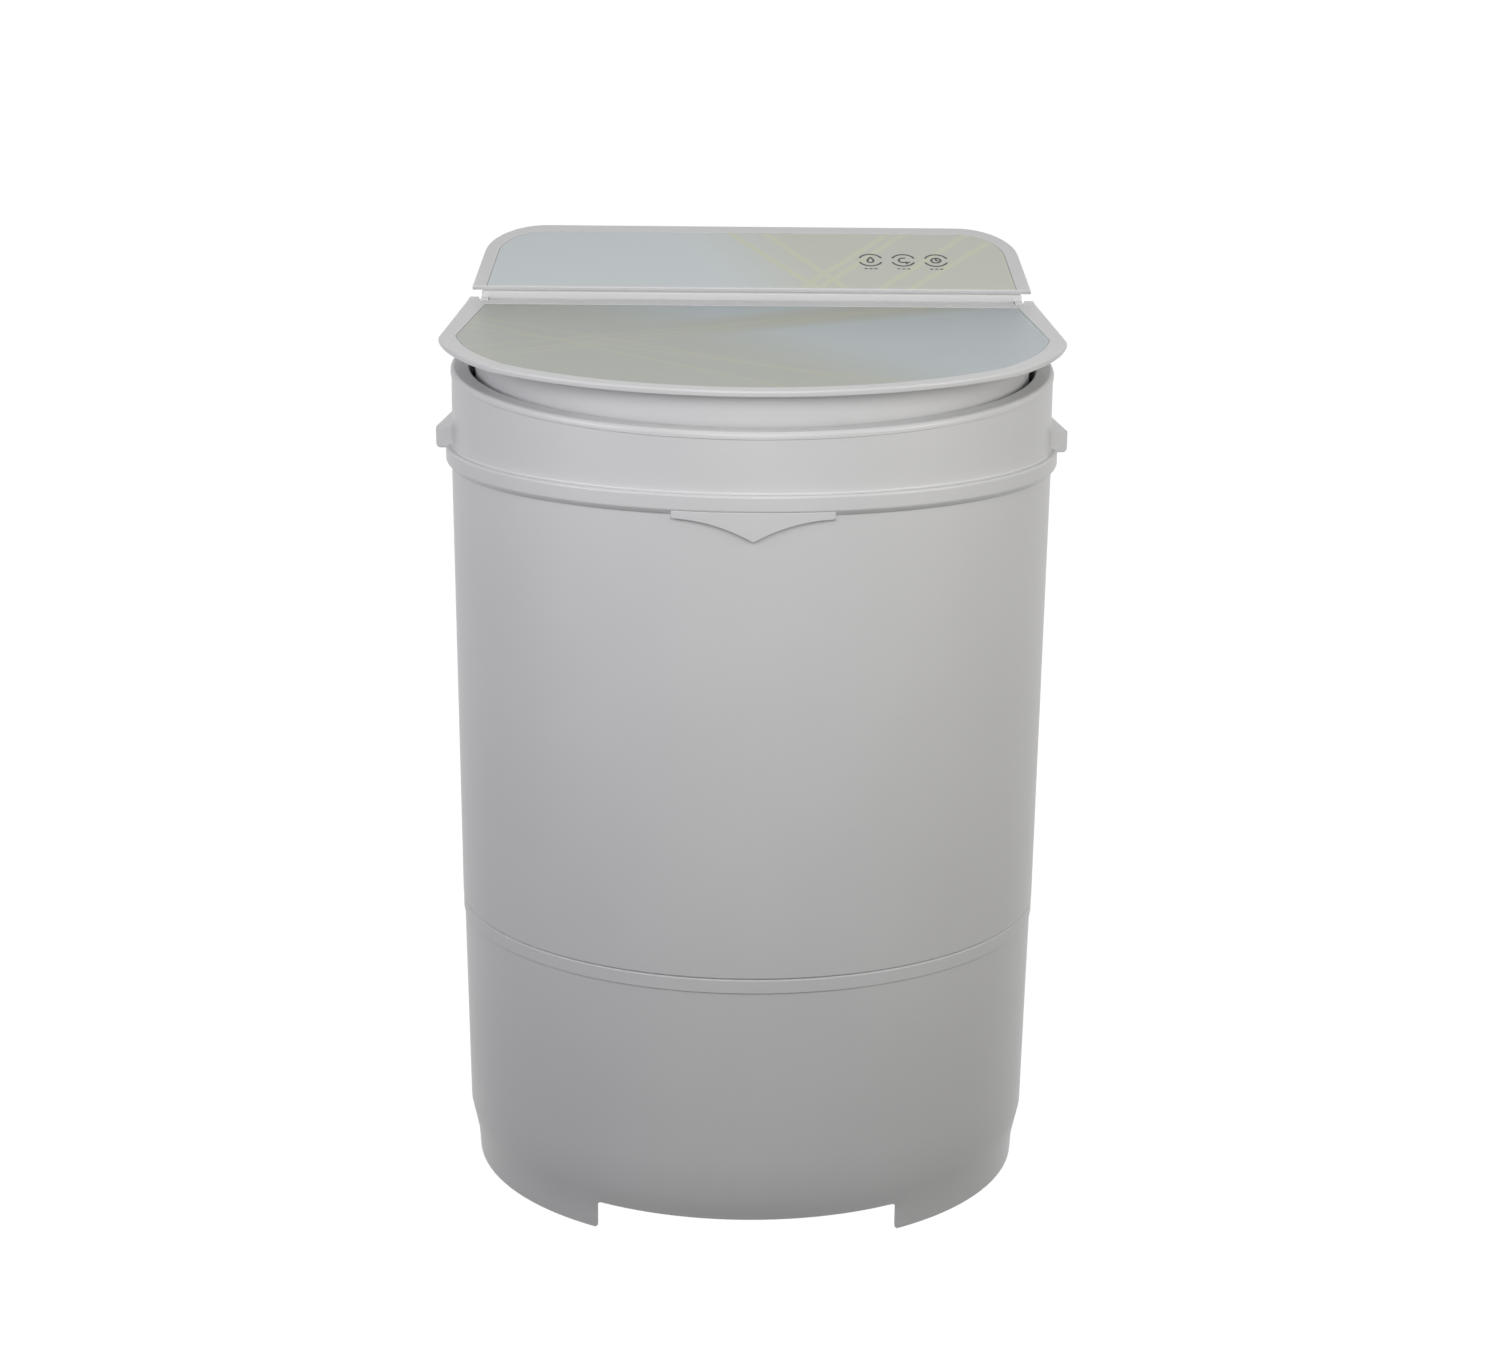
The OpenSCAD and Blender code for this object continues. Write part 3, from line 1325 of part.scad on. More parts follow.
// Outline of the lid in its own plane, with the middle of the tub at the origin
module lid_outline(inset = 0, rear) {
    front_c = lid_front_r - lid_front_y;
    intersection() {
        translate([0, front_c]) circle(r = lid_front_r - inset, $fn = 256);
        // This circle trims the front corners only
        union() {
            circle(r = lid_corner_r - inset, $fn = 256);
            translate([-far / 2, lid_widest_y]) square(far);
        }
        polygon([
            [-lid_rear_half_w + inset * 1.15, rear],
            [lid_rear_half_w - inset * 1.15, rear],
            [lid_half_w - inset * 0.9, lid_widest_y],
            [lid_half_w - inset * 0.9, -far / 2],
            [-lid_half_w + inset * 0.9, -far / 2],
            [-lid_half_w + inset * 0.9, lid_widest_y]]);
    }
}

module lid_frame() {
    rib_t = 2.5;
    rib_h = 6;
    rib_x = 0.47 * skirt_r;
    rib_front = 0.74 * skirt_r;
    color("white")
    in_lid_frame()
    difference() {
        union() {
            translate([0, 0, -lid_t]) linear_extrude(lid_t) lid_outline(0, lid_axis_y);
            // Round rear edge on the hinge axis
            translate([-lid_rear_half_w + 0.3, lid_axis_y, -barrel_r]) rotate([0, 90, 0])
                cylinder(r = barrel_r, h = 2 * lid_rear_half_w - 0.6, $fn = round_small);
            // Rear corners outside the control housing
            both_sides() translate([ear_out_x + ear_side_gap, lid_axis_y - 20, -lid_t])
                cube([lid_rear_half_w - ear_out_x - ear_side_gap,
                    lid_rear_corner_y - lid_axis_y + 20, lid_t]);
            // Stiffening ribs underneath, inside the skirt
            for (x = [-rib_x, 0, rib_x])
                translate([x - rib_t / 2, -rib_front, -lid_t - rib_h])
                    cube([rib_t, rib_front + skirt_back_y - 2 * skirt_wall, rib_h + bite]);
        }
        translate([0, 0, -decor_t - decor_dip]) linear_extrude(2 * decor_t)
            lid_outline(lid_border, decor_rear_y);
        // Slots for the hinge ears, and the pin bores beside them
        both_sides() {
            translate([ear_in_x - ear_side_gap, lid_axis_y - ear_r - 1, -far / 8])
                cube([ear_t + 2 * ear_side_gap, far / 4, far / 4]);
            translate([ear_in_x - pin_inner - 0.5, lid_axis_y, -barrel_r]) rotate([0, 90, 0])
                cylinder(r = pin_r + 0.02, h = pin_inner + ear_t + pin_outer + 1.2, $fn = round_small);
        }
    }
}

module lid_decor()
    color("lightsteelblue")
    in_lid_frame()
        translate([0, 0, -decor_t - decor_dip]) linear_extrude(decor_t)
            lid_outline(lid_border + decor_gap, decor_rear_y - decor_gap);

// Plan of the lid's skirt: round, with a straight rear side
module skirt_plan(inset)
    intersection() {
        circle(r = skirt_r - inset, $fn = round_big);
        translate([-far / 2, -far + skirt_back_y - inset]) square([far, far]);
    }

module lid_skirt() {
    long = rim_rise;
    color("white")
    difference() {
        in_lid_frame() difference() {
            translate([0, 0, -long]) linear_extrude(long - lid_t) skirt_plan(0);
            translate([0, 0, -long - 1]) linear_extrude(long + 2) skirt_plan(skirt_wall);
        }
        // The lower edge runs level with the sloping rim
        in_rim_frame() translate([-far / 2, -far / 2, -skirt_dip - far / 2]) cube([far, far, far / 2]);
    }
}

module hinge_pins()
    color("silver")
    in_lid_frame() both_sides()
        translate([ear_in_x - pin_inner, lid_axis_y, -barrel_r]) rotate([0, 90, 0])
            cylinder(r = pin_r, h = pin_inner + ear_t + pin_outer, $fn = round_small);

base_shell();
base_deck();
deck_screws();
rubber_feet();
body_shell();
wash_tub();
rim_seal();
rim_ring();
overflow_cover();
bearing_housing();
bearing_screws();
upper_bush();
lower_bush();
shaft_seal();
drain_hose();
hose_clamps();
drain_outlet();
outlet_nut();
motor_can();
motor_end_cap();
motor_stator();
motor_bearings();
motor_grommets();
motor_bolts();
motor_nuts();
run_capacitor();
drive_belt();
cord_gland();
wiring_harness();
control_housing();
housing_screws();
control_fascia();
control_decor();
control_board();
touch_pads();
pulsator();
pulsator_screw();
pulsator_cap();
drive_shaft();
thrust_washer();
shaft_circlip();
driven_pulley();
pulley_nut();
motor_rotor();
motor_pulley();
pulley_set_screw();
lid_frame();
lid_decor();
lid_skirt();
hinge_pins();
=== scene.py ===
# %% [markdown]
# # A round mini washing machine
# This lesson dresses a finished CAD model for rendering. The CAD model gives every size and
# every joint, and Blender adds soft edges, mould texture, a printed panel and light. The
# frame is loaded first, because each new piece takes its place from it and rides on it.

# %% Load the frame
import json
import math

import bmesh
import bpy
from mathutils import Matrix, Vector


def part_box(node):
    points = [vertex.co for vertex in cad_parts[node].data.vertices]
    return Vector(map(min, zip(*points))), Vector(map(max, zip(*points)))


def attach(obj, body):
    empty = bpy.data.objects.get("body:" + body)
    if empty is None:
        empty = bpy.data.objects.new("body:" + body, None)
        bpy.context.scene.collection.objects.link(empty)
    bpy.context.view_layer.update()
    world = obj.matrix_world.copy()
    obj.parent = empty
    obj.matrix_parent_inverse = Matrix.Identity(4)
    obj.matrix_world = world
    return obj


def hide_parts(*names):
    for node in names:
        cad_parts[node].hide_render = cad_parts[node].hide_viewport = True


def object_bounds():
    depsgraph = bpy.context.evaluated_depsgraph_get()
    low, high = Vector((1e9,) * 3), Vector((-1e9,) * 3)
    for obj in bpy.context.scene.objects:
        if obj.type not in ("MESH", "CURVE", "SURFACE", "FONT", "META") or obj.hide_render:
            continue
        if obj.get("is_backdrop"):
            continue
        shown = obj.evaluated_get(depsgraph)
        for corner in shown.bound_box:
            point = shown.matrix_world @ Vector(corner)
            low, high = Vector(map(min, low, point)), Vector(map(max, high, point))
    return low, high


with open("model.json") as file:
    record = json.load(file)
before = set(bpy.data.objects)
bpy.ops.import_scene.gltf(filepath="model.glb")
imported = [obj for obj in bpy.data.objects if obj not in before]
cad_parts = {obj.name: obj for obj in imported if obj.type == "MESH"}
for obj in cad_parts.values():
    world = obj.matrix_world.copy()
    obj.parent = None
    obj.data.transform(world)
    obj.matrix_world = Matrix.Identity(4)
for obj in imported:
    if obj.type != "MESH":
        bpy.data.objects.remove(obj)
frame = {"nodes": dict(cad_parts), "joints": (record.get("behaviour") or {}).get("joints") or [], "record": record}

cad_low, cad_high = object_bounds()
MM = 0.001
print("CAD box in mm", [round(v / MM, 1) for v in (*cad_low, *cad_high)])

# %% [markdown]
# ## The camera
# The picture that the render has to match was taken from the front and a little above. The
# camera is placed by real distances. A small roll stands for a camera that wasn't held quite
# level. The lens is given as the picture's focal length in pixels over its width, because
# that ratio stays right at any render size.

# %% Camera
PHOTO_WIDTH = 1500
FOCAL_PX = 2896
SENSOR = 36.0
CAMERA_PLACE = Vector((-0.015, -1.985, 0.842))
LOOK_DOWN = math.radians(14.12)
TURN = math.radians(-0.4445)
ROLL = math.radians(0.53)

lens = bpy.data.cameras.new("camera")
lens.sensor_width = SENSOR
lens.lens = FOCAL_PX / PHOTO_WIDTH * SENSOR
camera = bpy.data.objects.new("camera", lens)
bpy.context.scene.collection.objects.link(camera)
camera.matrix_world = (
    Matrix.Translation(CAMERA_PLACE)
    @ Matrix.Rotation(TURN, 4, "Z")
    @ Matrix.Rotation(math.radians(90) - LOOK_DOWN, 4, "X")
    @ Matrix.Rotation(ROLL, 4, "Z")
)
bpy.context.scene.camera = camera
print("lens", round(lens.lens, 1), "mm")

# %% [markdown]
# ## Sizes
# Every piece of this machine hangs on a few sizes. Most of them can be read from the frame:
# a round node's box gives its radius, and the lid's joint gives the hinge line. The slopes of
# the rim, the lid and the panel can't be read from a box, so they are written down here.

# %% Sizes
RIM_TILT = math.radians(4.4)
LID_TILT = math.radians(3.9)
PANEL_TILT = math.radians(23.5)
HINGE_RISE = 17.8 * MM

hinge = next(j for j in frame["joints"] if j["name"] == "lid_hinge")
hinge_y, hinge_z = hinge["pos_m"][1:]
shell_low, shell_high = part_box("body_shell")
ring_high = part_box("rim_ring")[1]
fascia_low, fascia_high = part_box("control_fascia")
housing_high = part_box("control_housing")[1]
seam_z = shell_low.z
shell_top_z = shell_high.z
shell_top_r = shell_high.x
flange_r = ring_high.y
lug_reach = ring_high.x
rim_mid_z = hinge_z - HINGE_RISE - hinge_y * math.tan(RIM_TILT)
print("rim at the middle", round(rim_mid_z / MM, 1), "mm, hinge at", round(hinge_z / MM, 1))

# %% [markdown]
# ## Light and stage
# Three soft lamps stand close in front, a little above the lid, one in the middle and one on
# each side, so the upper shell is bright and the light thins out towards the floor. The left
# one is a little cool and the right one a little warm, which shows the shell's roundness. A
# lamp overhead lights the lid. A rear lamp stands straight behind the machine, so that the back
# can be seen. In the front view it changes only the look of a few edges, and little.

# %% Lamps
KEY_POWER = 5.9
SIDE_POWER = 5.3
TOP_POWER = 4.9
REAR_POWER = 8.0
SKY_STRENGTH = 0.15


def lamp(name, place, aim, size, power, colour):
    """An area lamp that looks from one point to another."""
    light = bpy.data.lights.new(name, "AREA")
    light.shape = "DISK"
    light.size = size
    light.energy = power
    light.color = colour
    piece = bpy.data.objects.new(name, light)
    bpy.context.scene.collection.objects.link(piece)
    way = Vector(aim) - Vector(place)
    turn = way.to_track_quat("-Z", "Y").to_matrix().to_4x4()
    piece.matrix_world = Matrix.Translation(place) @ turn
    return piece


lamp("key_lamp", (0.0, -1.05, 0.90), (0.0, 0.0, 0.68), 0.8, KEY_POWER, (1.0, 1.0, 1.0))
lamp("left_lamp", (-1.0, -0.60, 0.85), (0.0, 0.0, 0.68), 0.7, SIDE_POWER, (0.96, 0.94, 1.0))
lamp("right_lamp", (1.0, -0.60, 0.85), (0.0, 0.0, 0.68), 0.7, SIDE_POWER, (1.0, 0.98, 0.93))
lamp("top_lamp", (0.0, 0.10, 1.90), (0.0, 0.0, 0.60), 1.2, TOP_POWER, (1.0, 1.0, 1.0))
lamp("rear_lamp", (0.0, 1.30, 0.52), (0.0, 0.0, 0.36), 0.6, REAR_POWER, (1.0, 1.0, 1.0))


# %% [markdown]
# ## A white backdrop
# A product photograph stands on white. Strong light on the backdrop would also flood the
# object, so the white is given only to the rays that look: camera, glossy and transmission
# rays see it, and the rays that light things see a weak grey sky.

# %% World
def white_rays(tree, place):
    """1 for camera, glossy and transmission rays, and 0 for the rays that light things."""
    path = tree.nodes.new("ShaderNodeLightPath")
    path.location = place
    first = tree.nodes.new("ShaderNodeMath")
    second = tree.nodes.new("ShaderNodeMath")
    first.operation = second.operation = "MAXIMUM"
    tree.links.new(path.outputs["Is Camera Ray"], first.inputs[0])
    tree.links.new(path.outputs["Is Glossy Ray"], first.inputs[1])
    tree.links.new(first.outputs[0], second.inputs[0])
    tree.links.new(path.outputs["Is Transmission Ray"], second.inputs[1])
    return second.outputs[0]


world = bpy.data.worlds.new("studio")
bpy.context.scene.world = world
world.use_nodes = True
sky = world.node_tree
sky.nodes.clear()
soft_sky = sky.nodes.new("ShaderNodeBackground")
soft_sky.inputs["Strength"].default_value = SKY_STRENGTH
white_sky = sky.nodes.new("ShaderNodeBackground")
white_sky.inputs["Color"].default_value = (1, 1, 1, 1)
sky_mix = sky.nodes.new("ShaderNodeMixShader")
sky_out = sky.nodes.new("ShaderNodeOutputWorld")
sky.links.new(white_rays(sky, (-600, 0)), sky_mix.inputs["Fac"])
sky.links.new(soft_sky.outputs[0], sky_mix.inputs[1])
sky.links.new(white_sky.outputs[0], sky_mix.inputs[2])
sky.links.new(sky_mix.outputs[0], sky_out.inputs["Surface"])
print("world", world.name, "sky strength", SKY_STRENGTH)

# %% [markdown]
# ## The floor
# The machine stands on a sheet of paper. A plain white glow would hide the shadow, so the
# floor mixes a little real shading into its white. To other rays it is dark, because a bright
# floor would throw light up on the shell's foot.

# %% Floor
FLOOR_SIZE = 12.0
FLOOR_WHITE = 0.82
FLOOR_GREY = 0.12
FLOOR_GLOW = 1.23
floor_material = bpy.data.materials.new("studio_floor")
floor_material.use_nodes = True
paper = floor_material.node_tree
paper.nodes.clear()
paper_matt = paper.nodes.new("ShaderNodeBsdfDiffuse")
paper_matt.inputs["Color"].default_value = (FLOOR_GREY, FLOOR_GREY, FLOOR_GREY, 1)
paper_glow = paper.nodes.new("ShaderNodeEmission")
paper_glow.inputs["Strength"].default_value = FLOOR_GLOW
paper_part = paper.nodes.new("ShaderNodeMath")
paper_part.operation = "MULTIPLY"
paper_part.inputs[1].default_value = FLOOR_WHITE
paper_mix = paper.nodes.new("ShaderNodeMixShader")
paper_out = paper.nodes.new("ShaderNodeOutputMaterial")
paper.links.new(white_rays(paper, (-600, 0)), paper_part.inputs[0])
paper.links.new(paper_part.outputs[0], paper_mix.inputs["Fac"])
paper.links.new(paper_matt.outputs[0], paper_mix.inputs[1])
paper.links.new(paper_glow.outputs[0], paper_mix.inputs[2])
paper.links.new(paper_mix.outputs[0], paper_out.inputs["Surface"])

floor_bm = bmesh.new()
bmesh.ops.create_grid(floor_bm, x_segments=1, y_segments=1, size=FLOOR_SIZE)
floor_mesh = bpy.data.meshes.new("studio_floor")
floor_bm.to_mesh(floor_mesh)
floor_bm.free()
floor_mesh.materials.append(floor_material)
floor = bpy.data.objects.new("studio_floor", floor_mesh)
bpy.context.scene.collection.objects.link(floor)
floor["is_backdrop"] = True
bpy.context.scene.view_settings.view_transform = "Standard"
print("floor", FLOOR_SIZE * 2, "m square")

# %% [markdown]
# ## Moulded plastic
# The cabinet is injection-moulded plastic with a soft gloss. Real mouldings aren't one flat
# colour: the resin clouds very slightly, and the skin has a fine ripple that breaks up
# reflections. A large noise tints the colour, a second one moves the roughness a little, and
# a fine one goes into a weak bump. The second one is kept large and weak: a finer and stronger
# one left small dark marks on the tub. All of them read Object coordinates, so they are the
# same size on every piece and don't slide when a piece moves.

# %% Material helpers
GLOSS_SCALE = 12.0


def shader(name, colour, rough, metal=0.0, coat=0.0):
    """A material with a Principled shader, and the nodes that patterns are added to."""
    material = bpy.data.materials.new(name)
    material.use_nodes = True
    tree = material.node_tree
    surface = tree.nodes["Principled BSDF"]
    surface.inputs["Base Color"].default_value = (*colour, 1)
    surface.inputs["Roughness"].default_value = rough
    surface.inputs["Metallic"].default_value = metal
    surface.inputs["Coat Weight"].default_value = coat
    where = tree.nodes.new("ShaderNodeTexCoord")
    return material, tree, surface, where.outputs["Object"]


def noise(tree, where, scale, detail=3.0, stretch=None):
    """Noise in Object coordinates. scale counts blobs per metre, stretch squeezes an axis."""
    if stretch:
        mapping = tree.nodes.new("ShaderNodeMapping")
        mapping.inputs["Scale"].default_value = stretch
        tree.links.new(where, mapping.inputs["Vector"])
        where = mapping.outputs["Vector"]
    texture = tree.nodes.new("ShaderNodeTexNoise")
    texture.inputs["Scale"].default_value = scale
    texture.inputs["Detail"].default_value = detail
    tree.links.new(where, texture.inputs["Vector"])
    return texture.outputs["Fac"]


def spread(tree, value, low, high):
    """Stretches a noise, which mostly lies between 0.3 and 0.7, over a range."""
    node = tree.nodes.new("ShaderNodeMapRange")
    node.inputs["From Min"].default_value = 0.3
    node.inputs["From Max"].default_value = 0.7
    node.inputs["To Min"].default_value = low
    node.inputs["To Max"].default_value = high
    tree.links.new(value, node.inputs["Value"])
    return node.outputs["Result"]


def blend_colours(tree, factor, first, second):
    """Mixes two colours. Either one is three numbers or another node's output."""
    node = tree.nodes.new("ShaderNodeMix")
    node.data_type = "RGBA"
    sockets = [s for s in node.inputs if s.type == "RGBA"]
    for socket, colour in zip(sockets, (first, second)):
        if isinstance(colour, tuple):
            socket.default_value = (*colour, 1)
        else:
            tree.links.new(colour, socket)
    tree.links.new(factor, node.inputs["Factor"])
    return next(s for s in node.outputs if s.type == "RGBA")


def bumpy(tree, surface, height, depth):
    """A bump of a real depth in metres."""
    node = tree.nodes.new("ShaderNodeBump")
    node.inputs["Strength"].default_value = 1.0
    node.inputs["Distance"].default_value = depth
    tree.links.new(height, node.inputs["Height"])
    tree.links.new(node.outputs["Normal"], surface.inputs["Normal"])


def moulded(name, colour, cloud, rough, ripple=900.0, depth=0.00001, stretch=None, coat=0.0):
    """Plastic, rubber or paint: a clouded colour, an uneven gloss and a fine ripple."""
    material, tree, surface, where = shader(name, colour, rough, coat=coat)
    clouds = spread(tree, noise(tree, where, 9.0), 0.0, 1.0)
    shade = tuple(c * (1 - cloud) for c in colour)
    tree.links.new(blend_colours(tree, clouds, colour, shade), surface.inputs["Base Color"])
    gloss = spread(tree, noise(tree, where, GLOSS_SCALE, 1.0), rough * 0.96, rough * 1.04)
    tree.links.new(gloss, surface.inputs["Roughness"])
    bumpy(tree, surface, noise(tree, where, ripple, 2.0, stretch), depth)
    return material


# %% Plastic, rubber and paint
WHITE = (0.60, 0.60, 0.605)
materials = {
    "cabinet_white": moulded("cabinet_white", WHITE, 0.035, 0.34),
    "tub_white": moulded("tub_white", (0.56, 0.58, 0.60), 0.05, 0.30, 600, 0.00002),
    "pulsator_blue": moulded("pulsator_blue", (0.33, 0.43, 0.55), 0.06, 0.28, 600, 0.00002),
    "black_rubber": moulded("black_rubber", (0.018, 0.018, 0.020), 0.25, 0.70, 1500, 0.00006),
    "hose_grey": moulded("hose_grey", (0.20, 0.21, 0.22), 0.15, 0.50, 700, 0.00004),
    "grey_plastic": moulded("grey_plastic", (0.11, 0.115, 0.125), 0.12, 0.45, 900, 0.00004),
    "motor_paint": moulded("motor_paint", (0.16, 0.17, 0.18), 0.12, 0.38, 500, 0.00003),
    "board_green": moulded("board_green", (0.010, 0.065, 0.028), 0.30, 0.35, 300, 0.00003),
    "key_contact": moulded("key_contact", (0.22, 0.22, 0.23), 0.15, 0.55, 900, 0.00003),
    "cable_black": moulded("cable_black", (0.012, 0.012, 0.013), 0.20, 0.42, 1200, 0.00003),
    "nylon_white": moulded("nylon_white", (0.60, 0.59, 0.56), 0.06, 0.42, 800, 0.00002),
    "winding_copper": moulded("winding_copper", (0.36, 0.12, 0.04), 0.35, 0.32, 260, 0.0002,
                              (1, 1, 14), coat=0.6),
}
print("plastics", len(materials))


# %% [markdown]
# ## Metals
# Turned and drawn steel carries fine lines, and a casting carries grain. The same noise
# makes both: squeezed along one axis it becomes lines, and left alone it becomes grain. It
# drives the roughness and a weak bump, because a metal shows its finish in its reflections.

# %% Metals
def metal(name, colour, rough, grain, depth, stretch=None):
    """Metal whose grain, or lines if it is stretched, move roughness and bump."""
    material, tree, surface, where = shader(name, colour, rough, metal=1.0)
    lines = noise(tree, where, grain, 3.0, stretch)
    tree.links.new(spread(tree, lines, rough * 0.75, rough * 1.3), surface.inputs["Roughness"])
    patina = spread(tree, noise(tree, where, 25.0), 0.0, 1.0)
    dull = tuple(c * 0.84 for c in colour)
    tree.links.new(blend_colours(tree, patina, colour, dull), surface.inputs["Base Color"])
    bumpy(tree, surface, lines, depth)
    return material


materials["steel"] = metal("steel", (0.50, 0.51, 0.53), 0.30, 500, 0.00001, (1, 1, 9))
materials["cast_alloy"] = metal("cast_alloy", (0.56, 0.57, 0.58), 0.48, 700, 0.00006)
materials["bronze"] = metal("bronze", (0.46, 0.27, 0.11), 0.36, 900, 0.00003)
print("materials", sorted(materials))

# %% [markdown]
# ## The printed panels
# Lid and control panel each carry a clear plate with a print under it. The print is a quiet
# one: a pale grey-blue ground that turns sand-coloured towards one end behind a wide soft
# slant, and a few thin straw-coloured lines at other slants. It could be painted in an image,
# but stripes are easy to build from coordinates: a dot product with the direction across a
# line gives the distance from that line, and comparing the distance with a width gives the
# stripe. A weak, slightly rough coat on top gives the plate its soft sheen.

# %% Print
def across(tree, where, lean, x, y):
    """Distance in metres from the line through (x, y) that leans by an angle from the Y axis."""
    turn = math.radians(lean)
    apart = tree.nodes.new("ShaderNodeVectorMath")
    apart.operation = "SUBTRACT"
    apart.inputs[1].default_value = (x, y, 0)
    dot = tree.nodes.new("ShaderNodeVectorMath")
    dot.operation = "DOT_PRODUCT"
    dot.inputs[1].default_value = (math.cos(turn), -math.sin(turn), 0)
    size = tree.nodes.new("ShaderNodeMath")
    size.operation = "ABSOLUTE"
    tree.links.new(where, apart.inputs[0])
    tree.links.new(apart.outputs["Vector"], dot.inputs[0])
    tree.links.new(dot.outputs["Value"], size.inputs[0])
    return size.outputs[0]


def stripe(tree, where, line, half_width, soft):
    """1 on a slanted stripe, fading to 0 over a soft edge."""
    edge = tree.nodes.new("ShaderNodeMapRange")
    edge.interpolation_type = "SMOOTHSTEP"
    edge.inputs["From Min"].default_value = half_width + soft
    edge.inputs["From Max"].default_value = half_width
    tree.links.new(across(tree, where, *line), edge.inputs["Value"])
    return edge.outputs["Result"]


LINE_HALF_WIDTH = 0.9 * MM
LINE_SOFT = 2.5 * MM


def printed(name, ground, sand, straw, bands, lines):
    """The print: bands are (lean, x, y, half width, softness), lines (lean, x, y)."""
    material, tree, surface, where = shader(name, ground, 0.30, coat=0.35)
    surface.inputs["Coat Roughness"].default_value = 0.22
    surface.inputs["Specular IOR Level"].default_value = 0.25
    colour = blend_colours(tree, spread(tree, noise(tree, where, 3.0), 0, 1), ground,
                           tuple(c * 0.95 for c in ground))
    for *line, half_width, soft in bands:
        part = stripe(tree, where, line, half_width, soft)
        colour = blend_colours(tree, part, colour, sand)
    for line in lines:
        part = stripe(tree, where, line, LINE_HALF_WIDTH, LINE_SOFT)
        colour = blend_colours(tree, part, colour, straw)
    tree.links.new(colour, surface.inputs["Base Color"])
    gloss = spread(tree, noise(tree, where, GLOSS_SCALE, 1.0), 0.29, 0.31)
    tree.links.new(gloss, surface.inputs["Roughness"])
    return material


# The panel's print is paler than the lid's
LID_GROUND = (0.288, 0.350, 0.372)
LID_SAND = (0.243, 0.262, 0.210)
LID_STRAW = (0.275, 0.290, 0.195)
PANEL_GROUND = (0.548, 0.595, 0.607)
PANEL_SAND = (0.520, 0.535, 0.470)
PANEL_STRAW = (0.555, 0.575, 0.445)
lid_print = printed(
    "lid_print", LID_GROUND, LID_SAND, LID_STRAW,
    [(-40, -0.150, -0.060, 0.085, 0.10), (62, 0.010, 0.030, 0.010, 0.03)],
    [(-52, -0.120, -0.020), (-60, -0.095, -0.060), (-46, -0.060, -0.110), (58, -0.110, -0.060),
     (64, -0.010, 0.020), (58, 0.030, 0.040)],
)
panel_print = printed(
    "panel_print", PANEL_GROUND, PANEL_SAND, PANEL_STRAW,
    [(-25, 0.130, 0.150, 0.070, 0.09)],
    [(41, 0.070, 0.150), (41, 0.082, 0.150), (42, 0.128, 0.150), (44, 0.152, 0.150),
     (-41, 0.014, 0.150), (-38, 0.030, 0.160)],
)
materials["panel_print"] = panel_print
print("prints", lid_print.name, panel_print.name)


# %% [markdown]
# ## From bmesh to piece
# Every piece is closed, shaded smooth except across sharp edges, given its material, and set
# to ride on the CAD body that it belongs to. One helper does that, so no step is forgotten.

# %% Piece helper
def piece(bm, name, body, slot, replaced=(), material=None, sharp=32):
    """Turns a bmesh into a finished piece that rides on its CAD body."""
    bmesh.ops.remove_doubles(bm, verts=bm.verts, dist=1e-6)
    bmesh.ops.recalc_face_normals(bm, faces=bm.faces)
    mesh = bpy.data.meshes.new(name)
    bm.to_mesh(mesh)
    bm.free()
    mesh.shade_smooth()
    mesh.set_sharp_from_angle(angle=math.radians(sharp))
    mesh.materials.append(material or materials[slot])
    made = bpy.data.objects.new(name, mesh)
    bpy.context.scene.collection.objects.link(made)
    shading = made.modifiers.new("even_shading", "WEIGHTED_NORMAL")
    shading.keep_sharp = True
    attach(made, body)
    if replaced:
        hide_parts(*replaced)
    print(name, len(mesh.vertices), "vertices, height", round(made.dimensions.z / MM, 1), "mm")
    return made


def points_of(made):
    """The vertices in what an operator made."""
    return [g for g in made if isinstance(g, bmesh.types.BMVert)]


def lines_of(made):
    """The edges in what an operator made."""
    return [g for g in made if isinstance(g, bmesh.types.BMEdge)]


def rod(bm, radius, length, x, y, z):
    """A rod along the X axis, centred on a point."""
    turned = Matrix.Translation((x, y, z)) @ Matrix.Rotation(math.pi / 2, 4, "Y")
    bmesh.ops.create_cone(bm, cap_ends=True, segments=32, radius1=radius, radius2=radius,
                          depth=length, matrix=turned)


def wire(bm, points, roundings=(), segments=6, closed=True):
    """A wire through points. roundings are (point number, cut-back in metres)."""
    corners = [bm.verts.new(p) for p in points]
    ends = corners[1:] + corners[:1] if closed else corners[1:]
    for a, b in zip(corners, ends):
        bm.edges.new((a, b))
    for number, cut in roundings:
        bmesh.ops.bevel(bm, geom=[corners[number]], offset=cut, offset_type="OFFSET",
                        segments=segments, profile=0.5, affect="VERTICES", material=-1)


def lathe(bm, steps=256):
    """Turns everything in the bmesh once round the Z axis."""
    bmesh.ops.spin(bm, geom=bm.verts[:] + bm.edges[:], cent=(0, 0, 0), axis=(0, 0, 1),
                   angle=2 * math.pi, steps=steps, use_merge=True, use_duplicate=False)


def soften(bm, edges, width, segments=3):
    """Rounds edges off."""
    bmesh.ops.bevel(bm, geom=list(edges), offset=width, offset_type="OFFSET",
                    segments=segments, profile=0.5, affect="EDGES", material=-1)


# %% [markdown]
# ## The cabinet shell
# The shell is a thin, slightly conical tube. A tube could be a cylinder with two loops moved,
# but a lathe keeps the wall's real section: a closed outline of the wall, with its corners
# rounded while it is still a wire, is turned once round the axis.

